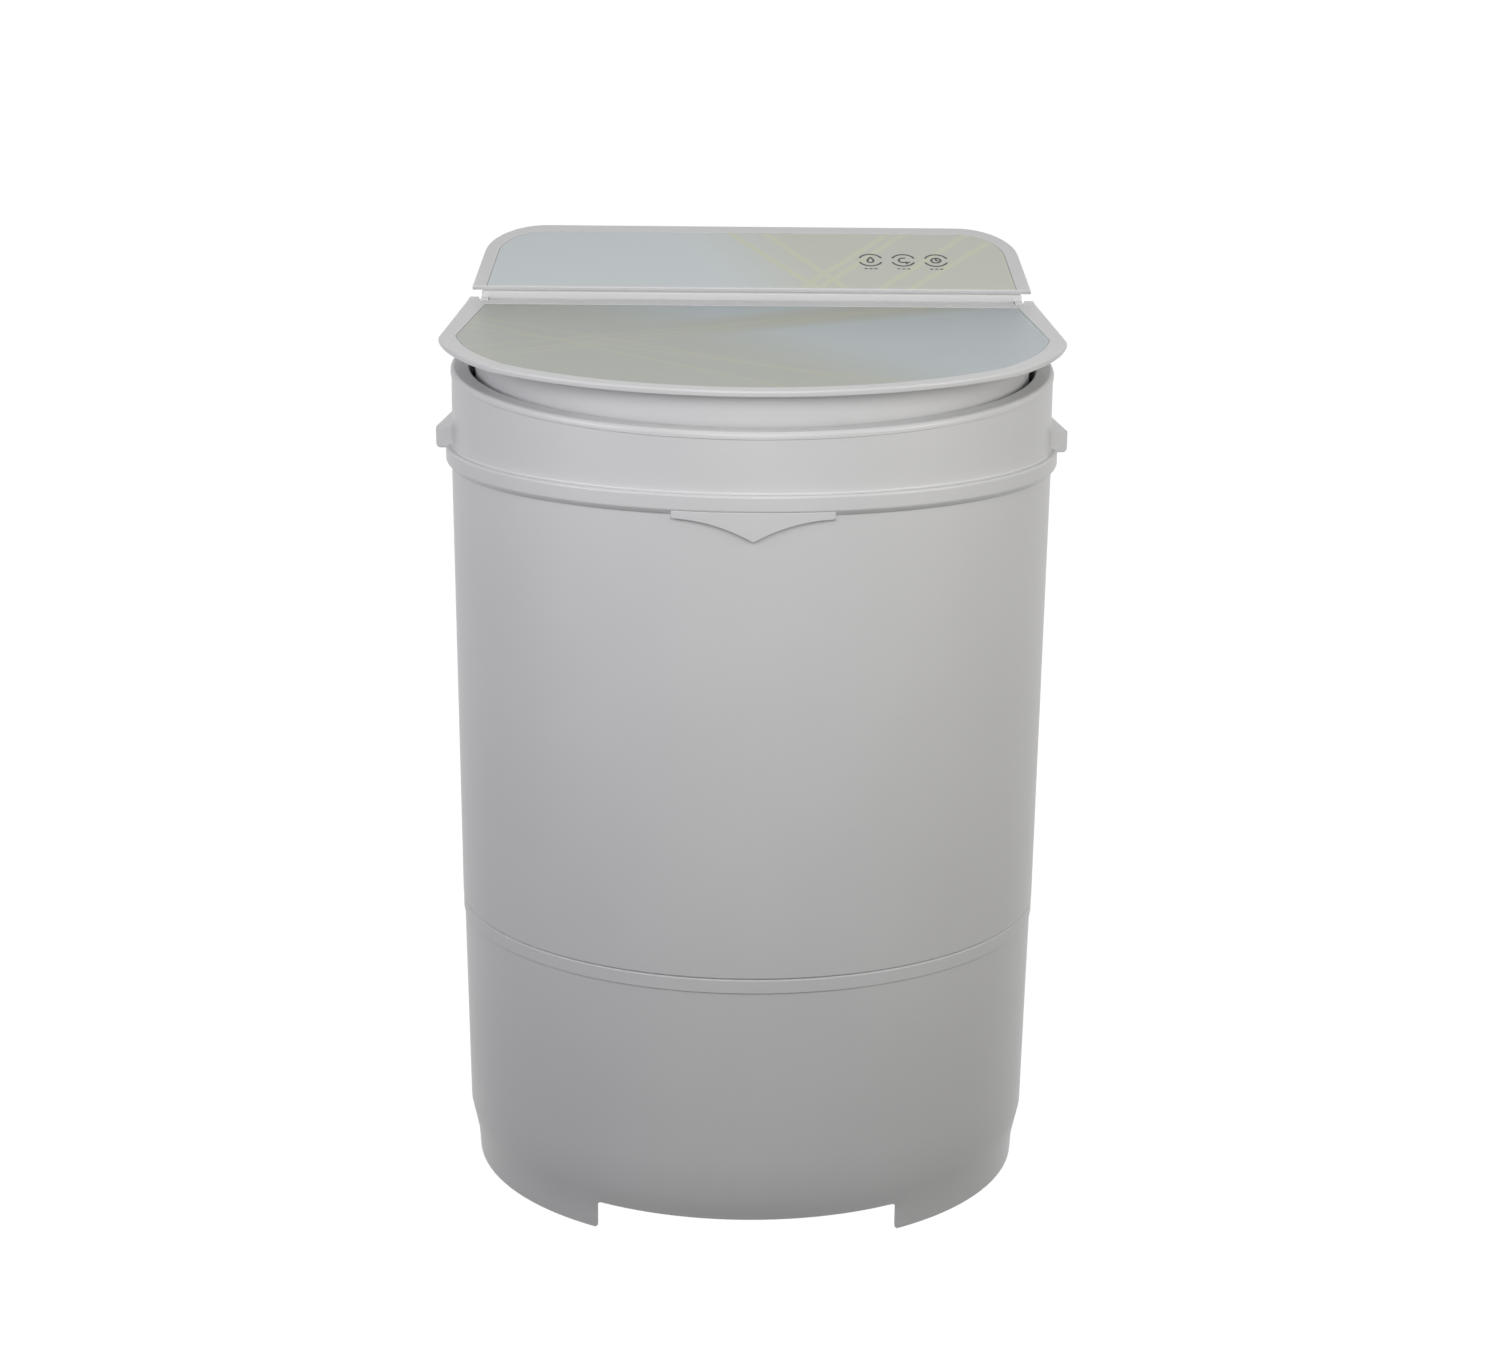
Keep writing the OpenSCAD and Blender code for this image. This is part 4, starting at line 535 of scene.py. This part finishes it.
# %% Cabinet shell
SHELL_WALL = 2.5 * MM
SHELL_TAPER = 3.4 * MM
shell_foot_r = shell_top_r - SHELL_TAPER
bm = bmesh.new()
wire(bm, [(shell_foot_r, 0, seam_z + 0.3 * MM), (shell_top_r, 0, shell_top_z),
          (shell_top_r - SHELL_WALL, 0, shell_top_z), (shell_foot_r - SHELL_WALL, 0, seam_z)],
     [(0, 0.8 * MM), (1, 0.5 * MM)], 4)
lathe(bm)
piece(bm, "cabinet_shell", "cabinet", "cabinet_white", ["body_shell"])

# %% [markdown]
# ## The rim ring
# The ring stands upright, but its top bead slopes up towards the rear. Turning a tilted
# outline would tilt the wall too. So the ring is turned level first, and then everything
# above the flange is sheared: each point rises by its own distance towards the rear times
# the slope. The wall stays upright and the bead stays the same thickness all round.

# %% Rim ring
RING_WALL_R = 206.0 * MM
RING_WALL = 3.0 * MM
BEAD_R = 206.6 * MM
BEAD_H = 5.0 * MM
MOUTH_R = 194.0 * MM
LIP = 2.2 * MM
LIP_DROP = 13.0 * MM
FLANGE_DROP = 1.0 * MM
FLANGE_H = 13.0 * MM
FOOT_RISE = 4.5 * MM
SHEAR_FROM = 20 * MM
flange_low = shell_top_z - FLANGE_DROP
flange_top = flange_low + FLANGE_H
ring_foot = shell_top_z + FOOT_RISE
skirt_in = shell_top_r + 1.0 * MM

bm = bmesh.new()
inner_wall = RING_WALL_R - RING_WALL
wire(bm, [
    (RING_WALL_R, 0, flange_top), (RING_WALL_R, 0, rim_mid_z - BEAD_H),
    (BEAD_R, 0, rim_mid_z - BEAD_H), (BEAD_R, 0, rim_mid_z),
    (MOUTH_R, 0, rim_mid_z), (MOUTH_R, 0, rim_mid_z - LIP_DROP),
    (MOUTH_R + LIP, 0, rim_mid_z - LIP_DROP), (MOUTH_R + LIP, 0, rim_mid_z - BEAD_H),
    (inner_wall, 0, rim_mid_z - BEAD_H), (inner_wall, 0, ring_foot),
    (RING_WALL_R, 0, ring_foot), (RING_WALL_R, 0, flange_top - 3 * MM),
    (skirt_in, 0, flange_top - 3 * MM), (skirt_in, 0, flange_low),
    (flange_r - 2.6 * MM, 0, flange_low), (flange_r, 0, flange_low + 3 * MM),
    (flange_r, 0, flange_top)],
    [(0, 1.2 * MM), (2, 0.5 * MM), (3, 3.0 * MM), (4, 1.5 * MM), (14, 0.6 * MM),
     (15, 0.8 * MM), (16, 1.8 * MM)], 6)
lathe(bm)
for v in [v for v in bm.verts if v.co.z > flange_top + SHEAR_FROM]:
    v.co.z += v.co.y * math.tan(RIM_TILT)
piece(bm, "rim_moulding", "cabinet", "cabinet_white", ["rim_ring"])

# %% [markdown]
# ## The pointed tab
# Under the flange, on the front, hangs a flat tab whose lower edge runs down in two hollow
# arcs to a point. It is drawn flat, extruded to its thickness, and then wrapped round the
# ring: each point keeps its height and its distance from the axis becomes the flange's.

# %% Tab
TAB_HALF = 52.5 * MM
TAB_DROP = 17 * MM
TAB_END = 3 * MM
TAB_BACK = 0.6 * MM
TAB_TOP = 2.5 * MM
TAB_STEPS = 16
tab_rise = TAB_DROP - TAB_END
tab_arc_r = (TAB_HALF**2 + tab_rise**2) / (2 * tab_rise)


def tab_edge(x):
    """Height of the tab's lower edge above its ends' height, for a place along it."""
    return math.sqrt(tab_arc_r**2 - (TAB_HALF - abs(x)) ** 2) - tab_arc_r


bm = bmesh.new()
top = [bm.verts.new((TAB_HALF * i / TAB_STEPS, 0, TAB_TOP))
       for i in range(-TAB_STEPS, TAB_STEPS + 1)]
foot = [bm.verts.new((v.co.x, 0, -TAB_END + tab_edge(v.co.x))) for v in top]
for row in (top, foot):
    for a, b in zip(row, row[1:]):
        bm.edges.new((a, b))
bmesh.ops.bridge_loops(bm, edges=bm.edges[:])
flat = bmesh.ops.extrude_face_region(bm, geom=bm.faces[:])
for v in points_of(flat["geom"]):
    v.co.y = -1.0
for v in bm.verts:
    radius = flange_r - TAB_BACK if v.co.y < -0.5 else shell_top_r + 0.7 * MM
    turn = v.co.x / flange_r
    v.co = Vector((radius * math.sin(turn), -radius * math.cos(turn), v.co.z + flange_low))
bmesh.ops.recalc_face_normals(bm, faces=bm.faces)
near_front = flange_r - TAB_BACK - 0.1 * MM
front_edges = [e for e in bm.edges if all(v.co.xy.length > near_front for v in e.verts)
               and e.calc_face_angle(0) > 0.8]
soften(bm, front_edges, 0.7 * MM)
piece(bm, "rim_tab", "cabinet", "cabinet_white")

# %% [markdown]
# ## The carrying lugs
# On each side a block sits on the flange, so that two hands can lift the machine. Each block
# is a cube that is scaled, toed in a little towards the rear, and bevelled.

# %% Lugs
LUG_LEN = 72 * MM
LUG_H = 15 * MM
LUG_FRONT = -22 * MM
LUG_DEPTH = 15 * MM
LUG_RISE = 10.5 * MM
LUG_TOE = math.radians(3.8)
lug_low = flange_low + LUG_RISE
for side, name in ((1, "carrying_lug_right"), (-1, "carrying_lug_left")):
    bm = bmesh.new()
    bmesh.ops.create_cube(bm, size=1.0)
    bmesh.ops.scale(bm, vec=(LUG_DEPTH, LUG_LEN, LUG_H), verts=bm.verts)
    bmesh.ops.translate(bm, vec=(-LUG_DEPTH / 2, LUG_LEN / 2, LUG_H / 2), verts=bm.verts)
    low_outer = [e for e in bm.edges if all(v.co.z < 1e-6 and v.co.x > -1e-6 for v in e.verts)]
    soften(bm, low_outer, 3.0 * MM, 5)
    rest = [e for e in bm.edges if e.calc_face_angle(0) > 1.2]
    soften(bm, rest, 0.9 * MM)
    bmesh.ops.rotate(bm, cent=(0, 0, 0), matrix=Matrix.Rotation(LUG_TOE, 3, "Z"), verts=bm.verts)
    bmesh.ops.translate(bm, vec=(lug_reach, LUG_FRONT, lug_low), verts=bm.verts)
    if side < 0:
        bmesh.ops.scale(bm, vec=(-1, 1, 1), verts=bm.verts)
    piece(bm, name, "cabinet", "cabinet_white")

# %% [markdown]
# ## Outlines of lid and panel
# The lid's plan is the overlap of simple shapes: a large circle whose arc is the front edge,
# a circle that cuts the front corners, two slanted side lines and a rear line. Walking round
# the middle in small turns and stopping at the nearest of these lines gives that overlap
# without any cutting. The same walk with every line drawn in gives the inner plate.

# %% Lid outline
FRONT_R = 245 * MM
FRONT_Y = 200 * MM
CORNER_R = 215 * MM
HALF_W = 212 * MM
REAR_HALF_W = 204 * MM
WIDEST_Y = -35 * MM
BARREL_R = 3.6 * MM
LID_T = 4.0 * MM
axis_y = hinge_y / math.cos(LID_TILT)
in_lid = (Matrix.Translation((0, hinge_y, hinge_z)) @ Matrix.Rotation(LID_TILT, 4, "X")
          @ Matrix.Translation((0, -axis_y, BARREL_R)))


def to_circle(way, centre_y, radius):
    """Distance from the middle along a direction to a circle centred on the Y axis."""
    along = way.y * centre_y
    return along + math.sqrt(radius**2 - centre_y**2 + along**2)


def to_line(way, a, b):
    """Distance from the middle along a direction to the line through two points."""
    run = b - a
    turn = way.x * run.y - way.y * run.x
    reach = (a.x * run.y - a.y * run.x) / turn if abs(turn) > 1e-9 else 9.0
    return reach if reach > 0 else 9.0


def lid_reach(angle, inset, rear_y):
    """Distance from the middle to the lid's outline, drawn in by an inset."""
    way = Vector((abs(math.cos(angle)), math.sin(angle)))
    widest = Vector((HALF_W - inset * 0.9, WIDEST_Y))
    rear = Vector((REAR_HALF_W - inset * 1.15, rear_y))
    reach = min(
        to_circle(way, FRONT_R - FRONT_Y, FRONT_R - inset),
        to_line(way, widest, rear),
        to_line(way, widest, widest + Vector((0, -1))),
        to_line(way, rear, rear - Vector((1, 0))),
    )
    front_corner = to_circle(way, 0, CORNER_R - inset)
    return min(reach, front_corner) if way.y * reach < WIDEST_Y else reach


def lid_points(inset, rear_y, steps=360):
    """The outline's points, with one exactly on each rear corner."""
    corner = math.atan2(rear_y, REAR_HALF_W - inset * 1.15)
    angles = sorted([2 * math.pi * i / steps for i in range(steps)] + [corner, math.pi - corner])
    return [Vector((math.cos(a), math.sin(a), 0)) * lid_reach(a, inset, rear_y) for a in angles]


print("lid outline", len(lid_points(0, axis_y)), "points")

# %% [markdown]
# ## A slab with a let-in plate
# Lid and panel are built alike: a slab with rounded edges and a shallow recess for the
# printed plate. The outer and inner outlines are filled as a face with a hole, the inner one
# is extruded down for the recess and the outer one for the slab's edge, and both are capped.

# %% Slab helper
def loop(bm, points):
    """A closed loop of edges through points."""
    corners = [bm.verts.new(p) for p in points]
    return [bm.edges.new(pair) for pair in zip(corners, corners[1:] + corners[:1])]


def drop(bm, edges, depth):
    """Extrudes a loop of edges down and caps it."""
    made = bmesh.ops.extrude_edge_only(bm, edges=edges)["geom"]
    low = points_of(made)
    bmesh.ops.translate(bm, vec=(0, 0, -depth), verts=low)
    rim = [e for e in lines_of(made) if all(v in low for v in e.verts)]
    bmesh.ops.edgeloop_fill(bm, edges=rim)


def slab(bm, outer, inner, thickness, recess, edge=1.3 * MM):
    """A slab with its top at height 0 and a recess inside the inner outline."""
    outer_edges = loop(bm, outer)
    inner_edges = loop(bm, inner)
    bmesh.ops.triangle_fill(bm, use_beauty=True, edges=outer_edges + inner_edges)
    drop(bm, inner_edges, recess)
    drop(bm, outer_edges, thickness)
    bmesh.ops.recalc_face_normals(bm, faces=bm.faces)
    rounded = [e for e in outer_edges if e.is_valid]
    low = [e for e in bm.edges if all(abs(v.co.z + thickness) < 1e-7 for v in e.verts)]
    soften(bm, rounded, edge, 4)
    soften(bm, [e for e in low if e.is_valid], 0.8 * MM, 2)
    soften(bm, [e for e in inner_edges if e.is_valid], 0.3 * MM, 2)


def plate(bm, points, top, thickness):
    """A thin plate with its top at a height."""
    edges = loop(bm, [p + Vector((0, 0, top)) for p in points])
    bmesh.ops.edgeloop_fill(bm, edges=edges)
    drop(bm, edges, thickness)
    bmesh.ops.recalc_face_normals(bm, faces=bm.faces)
    soften(bm, edges, 0.25 * MM, 2)


# %% [markdown]
# ## The lid
# The lid's rear edge is a round barrel about the hinge line, broken by a slot at each side
# for the hinge ear, and two short corners reach back past the control housing. These steps
# are added to the outline before the slab is built. The barrel is three rods in a line.

# %% Lid slab
BORDER = 12 * MM
DECOR_REAR = 86 * MM
DECOR_T = 1.6 * MM
DECOR_DIP = 0.2 * MM
EAR_IN = 189.5 * MM
EAR_T = 5.5 * MM
EAR_R = 4.4 * MM
EAR_GAP = 0.5 * MM
CORNER_BACK = 9 * MM
slot_in, slot_out = EAR_IN - EAR_GAP, EAR_IN + EAR_T + EAR_GAP

front_part = [p for p in lid_points(0, axis_y)
              if p.y < axis_y - 1e-6 or abs(p.x) > REAR_HALF_W - 1e-6]
front_part.sort(key=lambda p: (math.atan2(p.y, p.x) - math.pi / 2) % (2 * math.pi))
back = [(REAR_HALF_W, axis_y + CORNER_BACK), (slot_out, axis_y + CORNER_BACK),
        (slot_out, axis_y - EAR_R - 1 * MM), (slot_in, axis_y - EAR_R - 1 * MM), (slot_in, axis_y)]
back_right = [Vector((x, y, 0)) for x, y in back]
back_left = [Vector((-p.x, p.y, 0)) for p in reversed(back_right)]
lid_loop = front_part + back_right + back_left

bm = bmesh.new()
slab(bm, lid_loop, lid_points(BORDER, DECOR_REAR), LID_T, DECOR_T + DECOR_DIP)
barrel_end = REAR_HALF_W - 0.4 * MM
for low, high in ((-slot_in, slot_in), (slot_out, barrel_end), (-barrel_end, -slot_out)):
    rod(bm, BARREL_R, high - low, (low + high) / 2, axis_y, -BARREL_R)
bmesh.ops.transform(bm, matrix=in_lid, verts=bm.verts)
piece(bm, "lid_slab", "lid", "cabinet_white", ["lid_frame"])

bm = bmesh.new()
plate(bm, lid_points(BORDER + 0.2 * MM, DECOR_REAR - 0.2 * MM), -DECOR_DIP, DECOR_T)
bmesh.ops.transform(bm, matrix=in_lid, verts=bm.verts)
piece(bm, "lid_plate", "lid", "panel_print", ["lid_decor"], lid_print)

# %% [markdown]
# ## The lid's skirt
# Under the slab a thin wall dips into the mouth, so that splashes run back into the tub. It
# is round in front and straight at the rear. Its loop is extruded down further than needed
# and cut off along a plane that runs level with the sloping rim, and then the wall gets its
# thickness.

# %% Skirt
SKIRT_R = 190 * MM
SKIRT_BACK = 88 * MM
SKIRT_WALL = 2.5 * MM
SKIRT_DIP = 10.2 * MM
SKIRT_STEPS = 240
SKIRT_SPARE = 60 * MM
bm = bmesh.new()
skirt_points = []
for i in range(SKIRT_STEPS):
    turn = 2 * math.pi * i / SKIRT_STEPS
    way = Vector((math.cos(turn), math.sin(turn)))
    reach = min(SKIRT_R, SKIRT_BACK / way.y) if way.y > 0 else SKIRT_R
    skirt_points.append(Vector((way.x * reach, way.y * reach, -LID_T)))
skirt_edges = loop(bm, skirt_points)
made = bmesh.ops.extrude_edge_only(bm, edges=skirt_edges)["geom"]
bmesh.ops.translate(bm, vec=(0, 0, -SKIRT_SPARE), verts=points_of(made))
bmesh.ops.transform(bm, matrix=in_lid, verts=bm.verts)
rim_up = Vector((0, -math.sin(RIM_TILT), math.cos(RIM_TILT)))
rim_mid = Vector((0, 0, rim_mid_z))
bmesh.ops.bisect_plane(bm, geom=bm.verts[:] + bm.edges[:] + bm.faces[:], dist=1e-7,
                       plane_co=rim_mid - rim_up * SKIRT_DIP, plane_no=rim_up, clear_inner=True)
bmesh.ops.recalc_face_normals(bm, faces=bm.faces)
outward = bm.faces[:][0]
if outward.normal.dot(outward.calc_center_median() - rim_mid) < 0:
    bmesh.ops.reverse_faces(bm, faces=bm.faces)
bmesh.ops.solidify(bm, geom=bm.faces[:], thickness=SKIRT_WALL)
piece(bm, "lid_splash_skirt", "lid", "cabinet_white", ["lid_skirt"])

# %% [markdown]
# ## The control housing
# Behind the lid a box rises from the rim to the slanted panel. Its plan is extruded to a tall
# block, and two plane cuts give it its real form: one along the sloping rim below, and one
# along the underside of the panel above. Each cut is capped at once.

# %% Control housing
PANEL_LEN = 92 * MM
PANEL_CORNER = 39.6 * MM
PANEL_RISE = 11.9 * MM
FASCIA_T = 3.4 * MM
HOUSING_REAR_HALF = 174.6 * MM
HOUSING_CORNER = 26.6 * MM
HOUSING_SPARE = 20 * MM
HOUSING_TALL = 150 * MM
panel_y = fascia_low.y
panel_z = hinge_z + PANEL_RISE
in_panel = Matrix.Translation((0, panel_y, panel_z)) @ Matrix.Rotation(PANEL_TILT, 4, "X")
panel_up = in_panel.to_3x3() @ Vector((0, 0, 1))
housing_half = housing_high.x
housing_rear = housing_high.y
bm = bmesh.new()
wire(bm, [(-housing_half, panel_y, 0), (housing_half, panel_y, 0),
          (HOUSING_REAR_HALF, housing_rear, 0), (-HOUSING_REAR_HALF, housing_rear, 0)],
     [(2, HOUSING_CORNER), (3, HOUSING_CORNER)], 14)
bmesh.ops.edgeloop_fill(bm, edges=bm.edges[:])
bmesh.ops.translate(bm, vec=(0, 0, rim_mid_z - HOUSING_SPARE), verts=bm.verts)
lifted = bmesh.ops.extrude_face_region(bm, geom=bm.faces[:])["geom"]
bmesh.ops.translate(bm, vec=(0, 0, HOUSING_TALL), verts=points_of(lifted))
for spot, normal in ((rim_mid, -rim_up), (in_panel @ Vector((0, 0, -FASCIA_T)), panel_up)):
    cut = bmesh.ops.bisect_plane(bm, geom=bm.verts[:] + bm.edges[:] + bm.faces[:], dist=1e-7,
                                 plane_co=spot, plane_no=normal, clear_outer=True)["geom_cut"]
    bmesh.ops.edgeloop_fill(bm, edges=lines_of(cut))
bmesh.ops.recalc_face_normals(bm, faces=bm.faces)
soften(bm, [e for e in bm.edges if e.calc_face_angle(0) > 0.9], 0.8 * MM)
arm_end = panel_y + 1 * MM
for side in (1, -1):
    ear_x = side * (EAR_IN + EAR_T / 2)
    rod(bm, EAR_R, EAR_T, ear_x, hinge_y, hinge_z)
    arm = Matrix.Translation((ear_x, (hinge_y + arm_end) / 2, hinge_z))
    arm = arm @ Matrix.Diagonal((EAR_T, arm_end - hinge_y, 2 * EAR_R, 1))
    bmesh.ops.create_cube(bm, size=1.0, matrix=arm)
piece(bm, "control_box", "cabinet", "cabinet_white", ["control_housing"])

# %% [markdown]
# ## The panel
# The panel is a trapezoid with two large rounded rear corners. The corners are rounded while
# the outline is still a wire, in the panel's own plane, and the slab is then tilted into
# place. The plate with the print lies in its recess.

# %% Panel
PANEL_BORDER = 10 * MM
PANEL_FRONT = 1.4 * MM
PANEL_TAPER = math.radians(6.07)
PLATE_GAP = 0.2 * MM


def panel_points(inset, front):
    """The panel's outline in its own plane, drawn in by an inset."""
    rear = PANEL_LEN - inset
    half = fascia_high.x - inset / math.cos(PANEL_TAPER)
    front_half = half - math.tan(PANEL_TAPER) * front
    rear_half = half - math.tan(PANEL_TAPER) * rear
    corner = PANEL_CORNER - inset * 0.9
    shape = bmesh.new()
    wire(shape, [(-front_half, front, 0), (front_half, front, 0),
                 (rear_half, rear, 0), (-rear_half, rear, 0)],
         [(2, corner), (3, corner)], 16)
    start = min(shape.verts, key=lambda v: (v.co.y, v.co.x))
    points, edge, spot = [], None, start
    while True:
        points.append(spot.co.copy())
        edge = next(e for e in spot.link_edges if e is not edge)
        spot = edge.other_vert(spot)
        if spot is start:
            break
    shape.free()
    return points


bm = bmesh.new()
slab(bm, panel_points(0, 0), panel_points(PANEL_BORDER, PANEL_FRONT), FASCIA_T,
     DECOR_T + DECOR_DIP, 0.9 * MM)
bmesh.ops.transform(bm, matrix=in_panel, verts=bm.verts)
piece(bm, "panel_frame", "cabinet", "cabinet_white", ["control_fascia"])

bm = bmesh.new()
plate(bm, panel_points(PANEL_BORDER + PLATE_GAP, PANEL_FRONT + PLATE_GAP), -DECOR_DIP, DECOR_T)
bmesh.ops.transform(bm, matrix=in_panel, verts=bm.verts)
piece(bm, "panel_plate", "cabinet", "panel_print", ["control_decor"])

# %% [markdown]
# ## The touch symbols
# Three round symbols are printed on the plate: a drop, a turning arrow and a clock. Print has
# next to no thickness, so each one is a flat outline, a few hundredths of a millimetre high,
# laid on the plate. A ring could be an inset circle whose middle is left out, but a short edge
# that is swept round a point also makes part of a ring, which the symbols need.

# %% Touch symbols
KEY_X = 111 * MM
KEY_Y = 43 * MM
KEY_PITCH = 24 * MM
KEY_R = 9.2 * MM
LINE = 1.5 * MM
INK_H = 0.04 * MM
ink = moulded("printed_ink", (0.030, 0.032, 0.034), 0.15, 0.45, 900, 0.00001)


def ring(bm, place, radius, line, start=0.0, sweep=2 * math.pi, steps=40):
    """A flat ring, or part of one, made by sweeping a short edge."""
    way = Vector((math.cos(start), math.sin(start), 0))
    a = bm.verts.new(place + radius * way)
    b = bm.verts.new(place + (radius - line) * way)
    edge = bm.edges.new((a, b))
    bmesh.ops.spin(bm, geom=[a, b, edge], cent=place, axis=(0, 0, 1), angle=sweep, steps=steps,
                   use_merge=sweep > 6.28, use_duplicate=False)


def bar(bm, start, end, width):
    """A flat bar between two points."""
    way = (end - start).normalized() * width / 2
    side = Vector((-way.y, way.x, 0))
    bm.faces.new([bm.verts.new(p) for p in (start - side, end - side, end + side, start + side)])


bm = bmesh.new()
for number in (-1, 0, 1):
    middle = Vector((KEY_X + number * KEY_PITCH, KEY_Y, 0))
    for start in (math.radians(20), math.radians(200)):
        ring(bm, middle, KEY_R, LINE, start, math.radians(140), 24)
    if number == -1:
        drop_low = middle + Vector((0, -1.2 * MM, 0))
        drop_tip = middle + Vector((0, 4.4 * MM, 0))
        ring(bm, drop_low, 3.0 * MM, LINE, math.radians(150), math.radians(240), 20)
        for side in (-1, 1):
            bar(bm, middle + Vector((side * 2.3 * MM, 0.1 * MM, 0)), drop_tip, LINE)
    elif number == 0:
        ring(bm, middle, 4.0 * MM, LINE, math.radians(60), math.radians(250), 24)
        tip = middle + Vector((2.4 * MM, -3.0 * MM, 0))
        bar(bm, tip, tip + Vector((2.6 * MM, 0.4 * MM, 0)), LINE)
        bar(bm, tip, tip + Vector((0.2 * MM, -2.6 * MM, 0)), LINE)
    else:
        ring(bm, middle, 4.2 * MM, LINE)
        bar(bm, middle, middle + Vector((0, 3.0 * MM, 0)), LINE)
        bar(bm, middle, middle + Vector((2.2 * MM, -0.8 * MM, 0)), LINE)
    for step in (-1, 0, 1):
        spot = middle + Vector((step * 3.6 * MM, -12.6 * MM, 0))
        bar(bm, spot - Vector((1.2 * MM, 0, 0)), spot + Vector((1.2 * MM, 0, 0)), 1.3 * MM)
lifted = bmesh.ops.extrude_face_region(bm, geom=bm.faces[:])["geom"]
bmesh.ops.translate(bm, vec=(0, 0, INK_H), verts=points_of(lifted))
bmesh.ops.translate(bm, vec=(0, 0, -DECOR_DIP + 0.005 * MM), verts=bm.verts)
bmesh.ops.transform(bm, matrix=in_panel, verts=bm.verts)
piece(bm, "touch_symbols", "cabinet", "panel_print", material=ink)

# %% [markdown]
# ## The pieces that keep their CAD shape
# The base, the tub, the drive and the fasteners already have their true shape. Their meshes
# are loose triangles, so a Weld modifier joins them and an Edge Split modifier keeps true
# edges crisp while round walls shade smoothly. Only their materials are new.

# %% Dress the CAD nodes
SPLIT = math.radians(28)
MERGE = 0.004 * MM
for row in frame["record"]["subparts"]:
    node = frame["nodes"][row["node"]]
    node.data.materials.clear()
    node.data.materials.append(materials[row["material_slot"]])
    node.data.polygons.foreach_set("use_smooth", [True] * len(node.data.polygons))
    if not node.hide_render:
        weld = node.modifiers.new("join_triangles", "WELD")
        weld.merge_threshold = MERGE
        split = node.modifiers.new("crisp_edges", "EDGE_SPLIT")
        split.split_angle = SPLIT
shown = [n for n, o in frame["nodes"].items() if not o.hide_render]
print("CAD nodes shown", len(shown))

# %% Finish
new_low, new_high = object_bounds()
grown = zip((*cad_low, *cad_high), (*new_low, *new_high))
print("growth in mm", [round((b - a) / MM, 2) for a, b in grown])
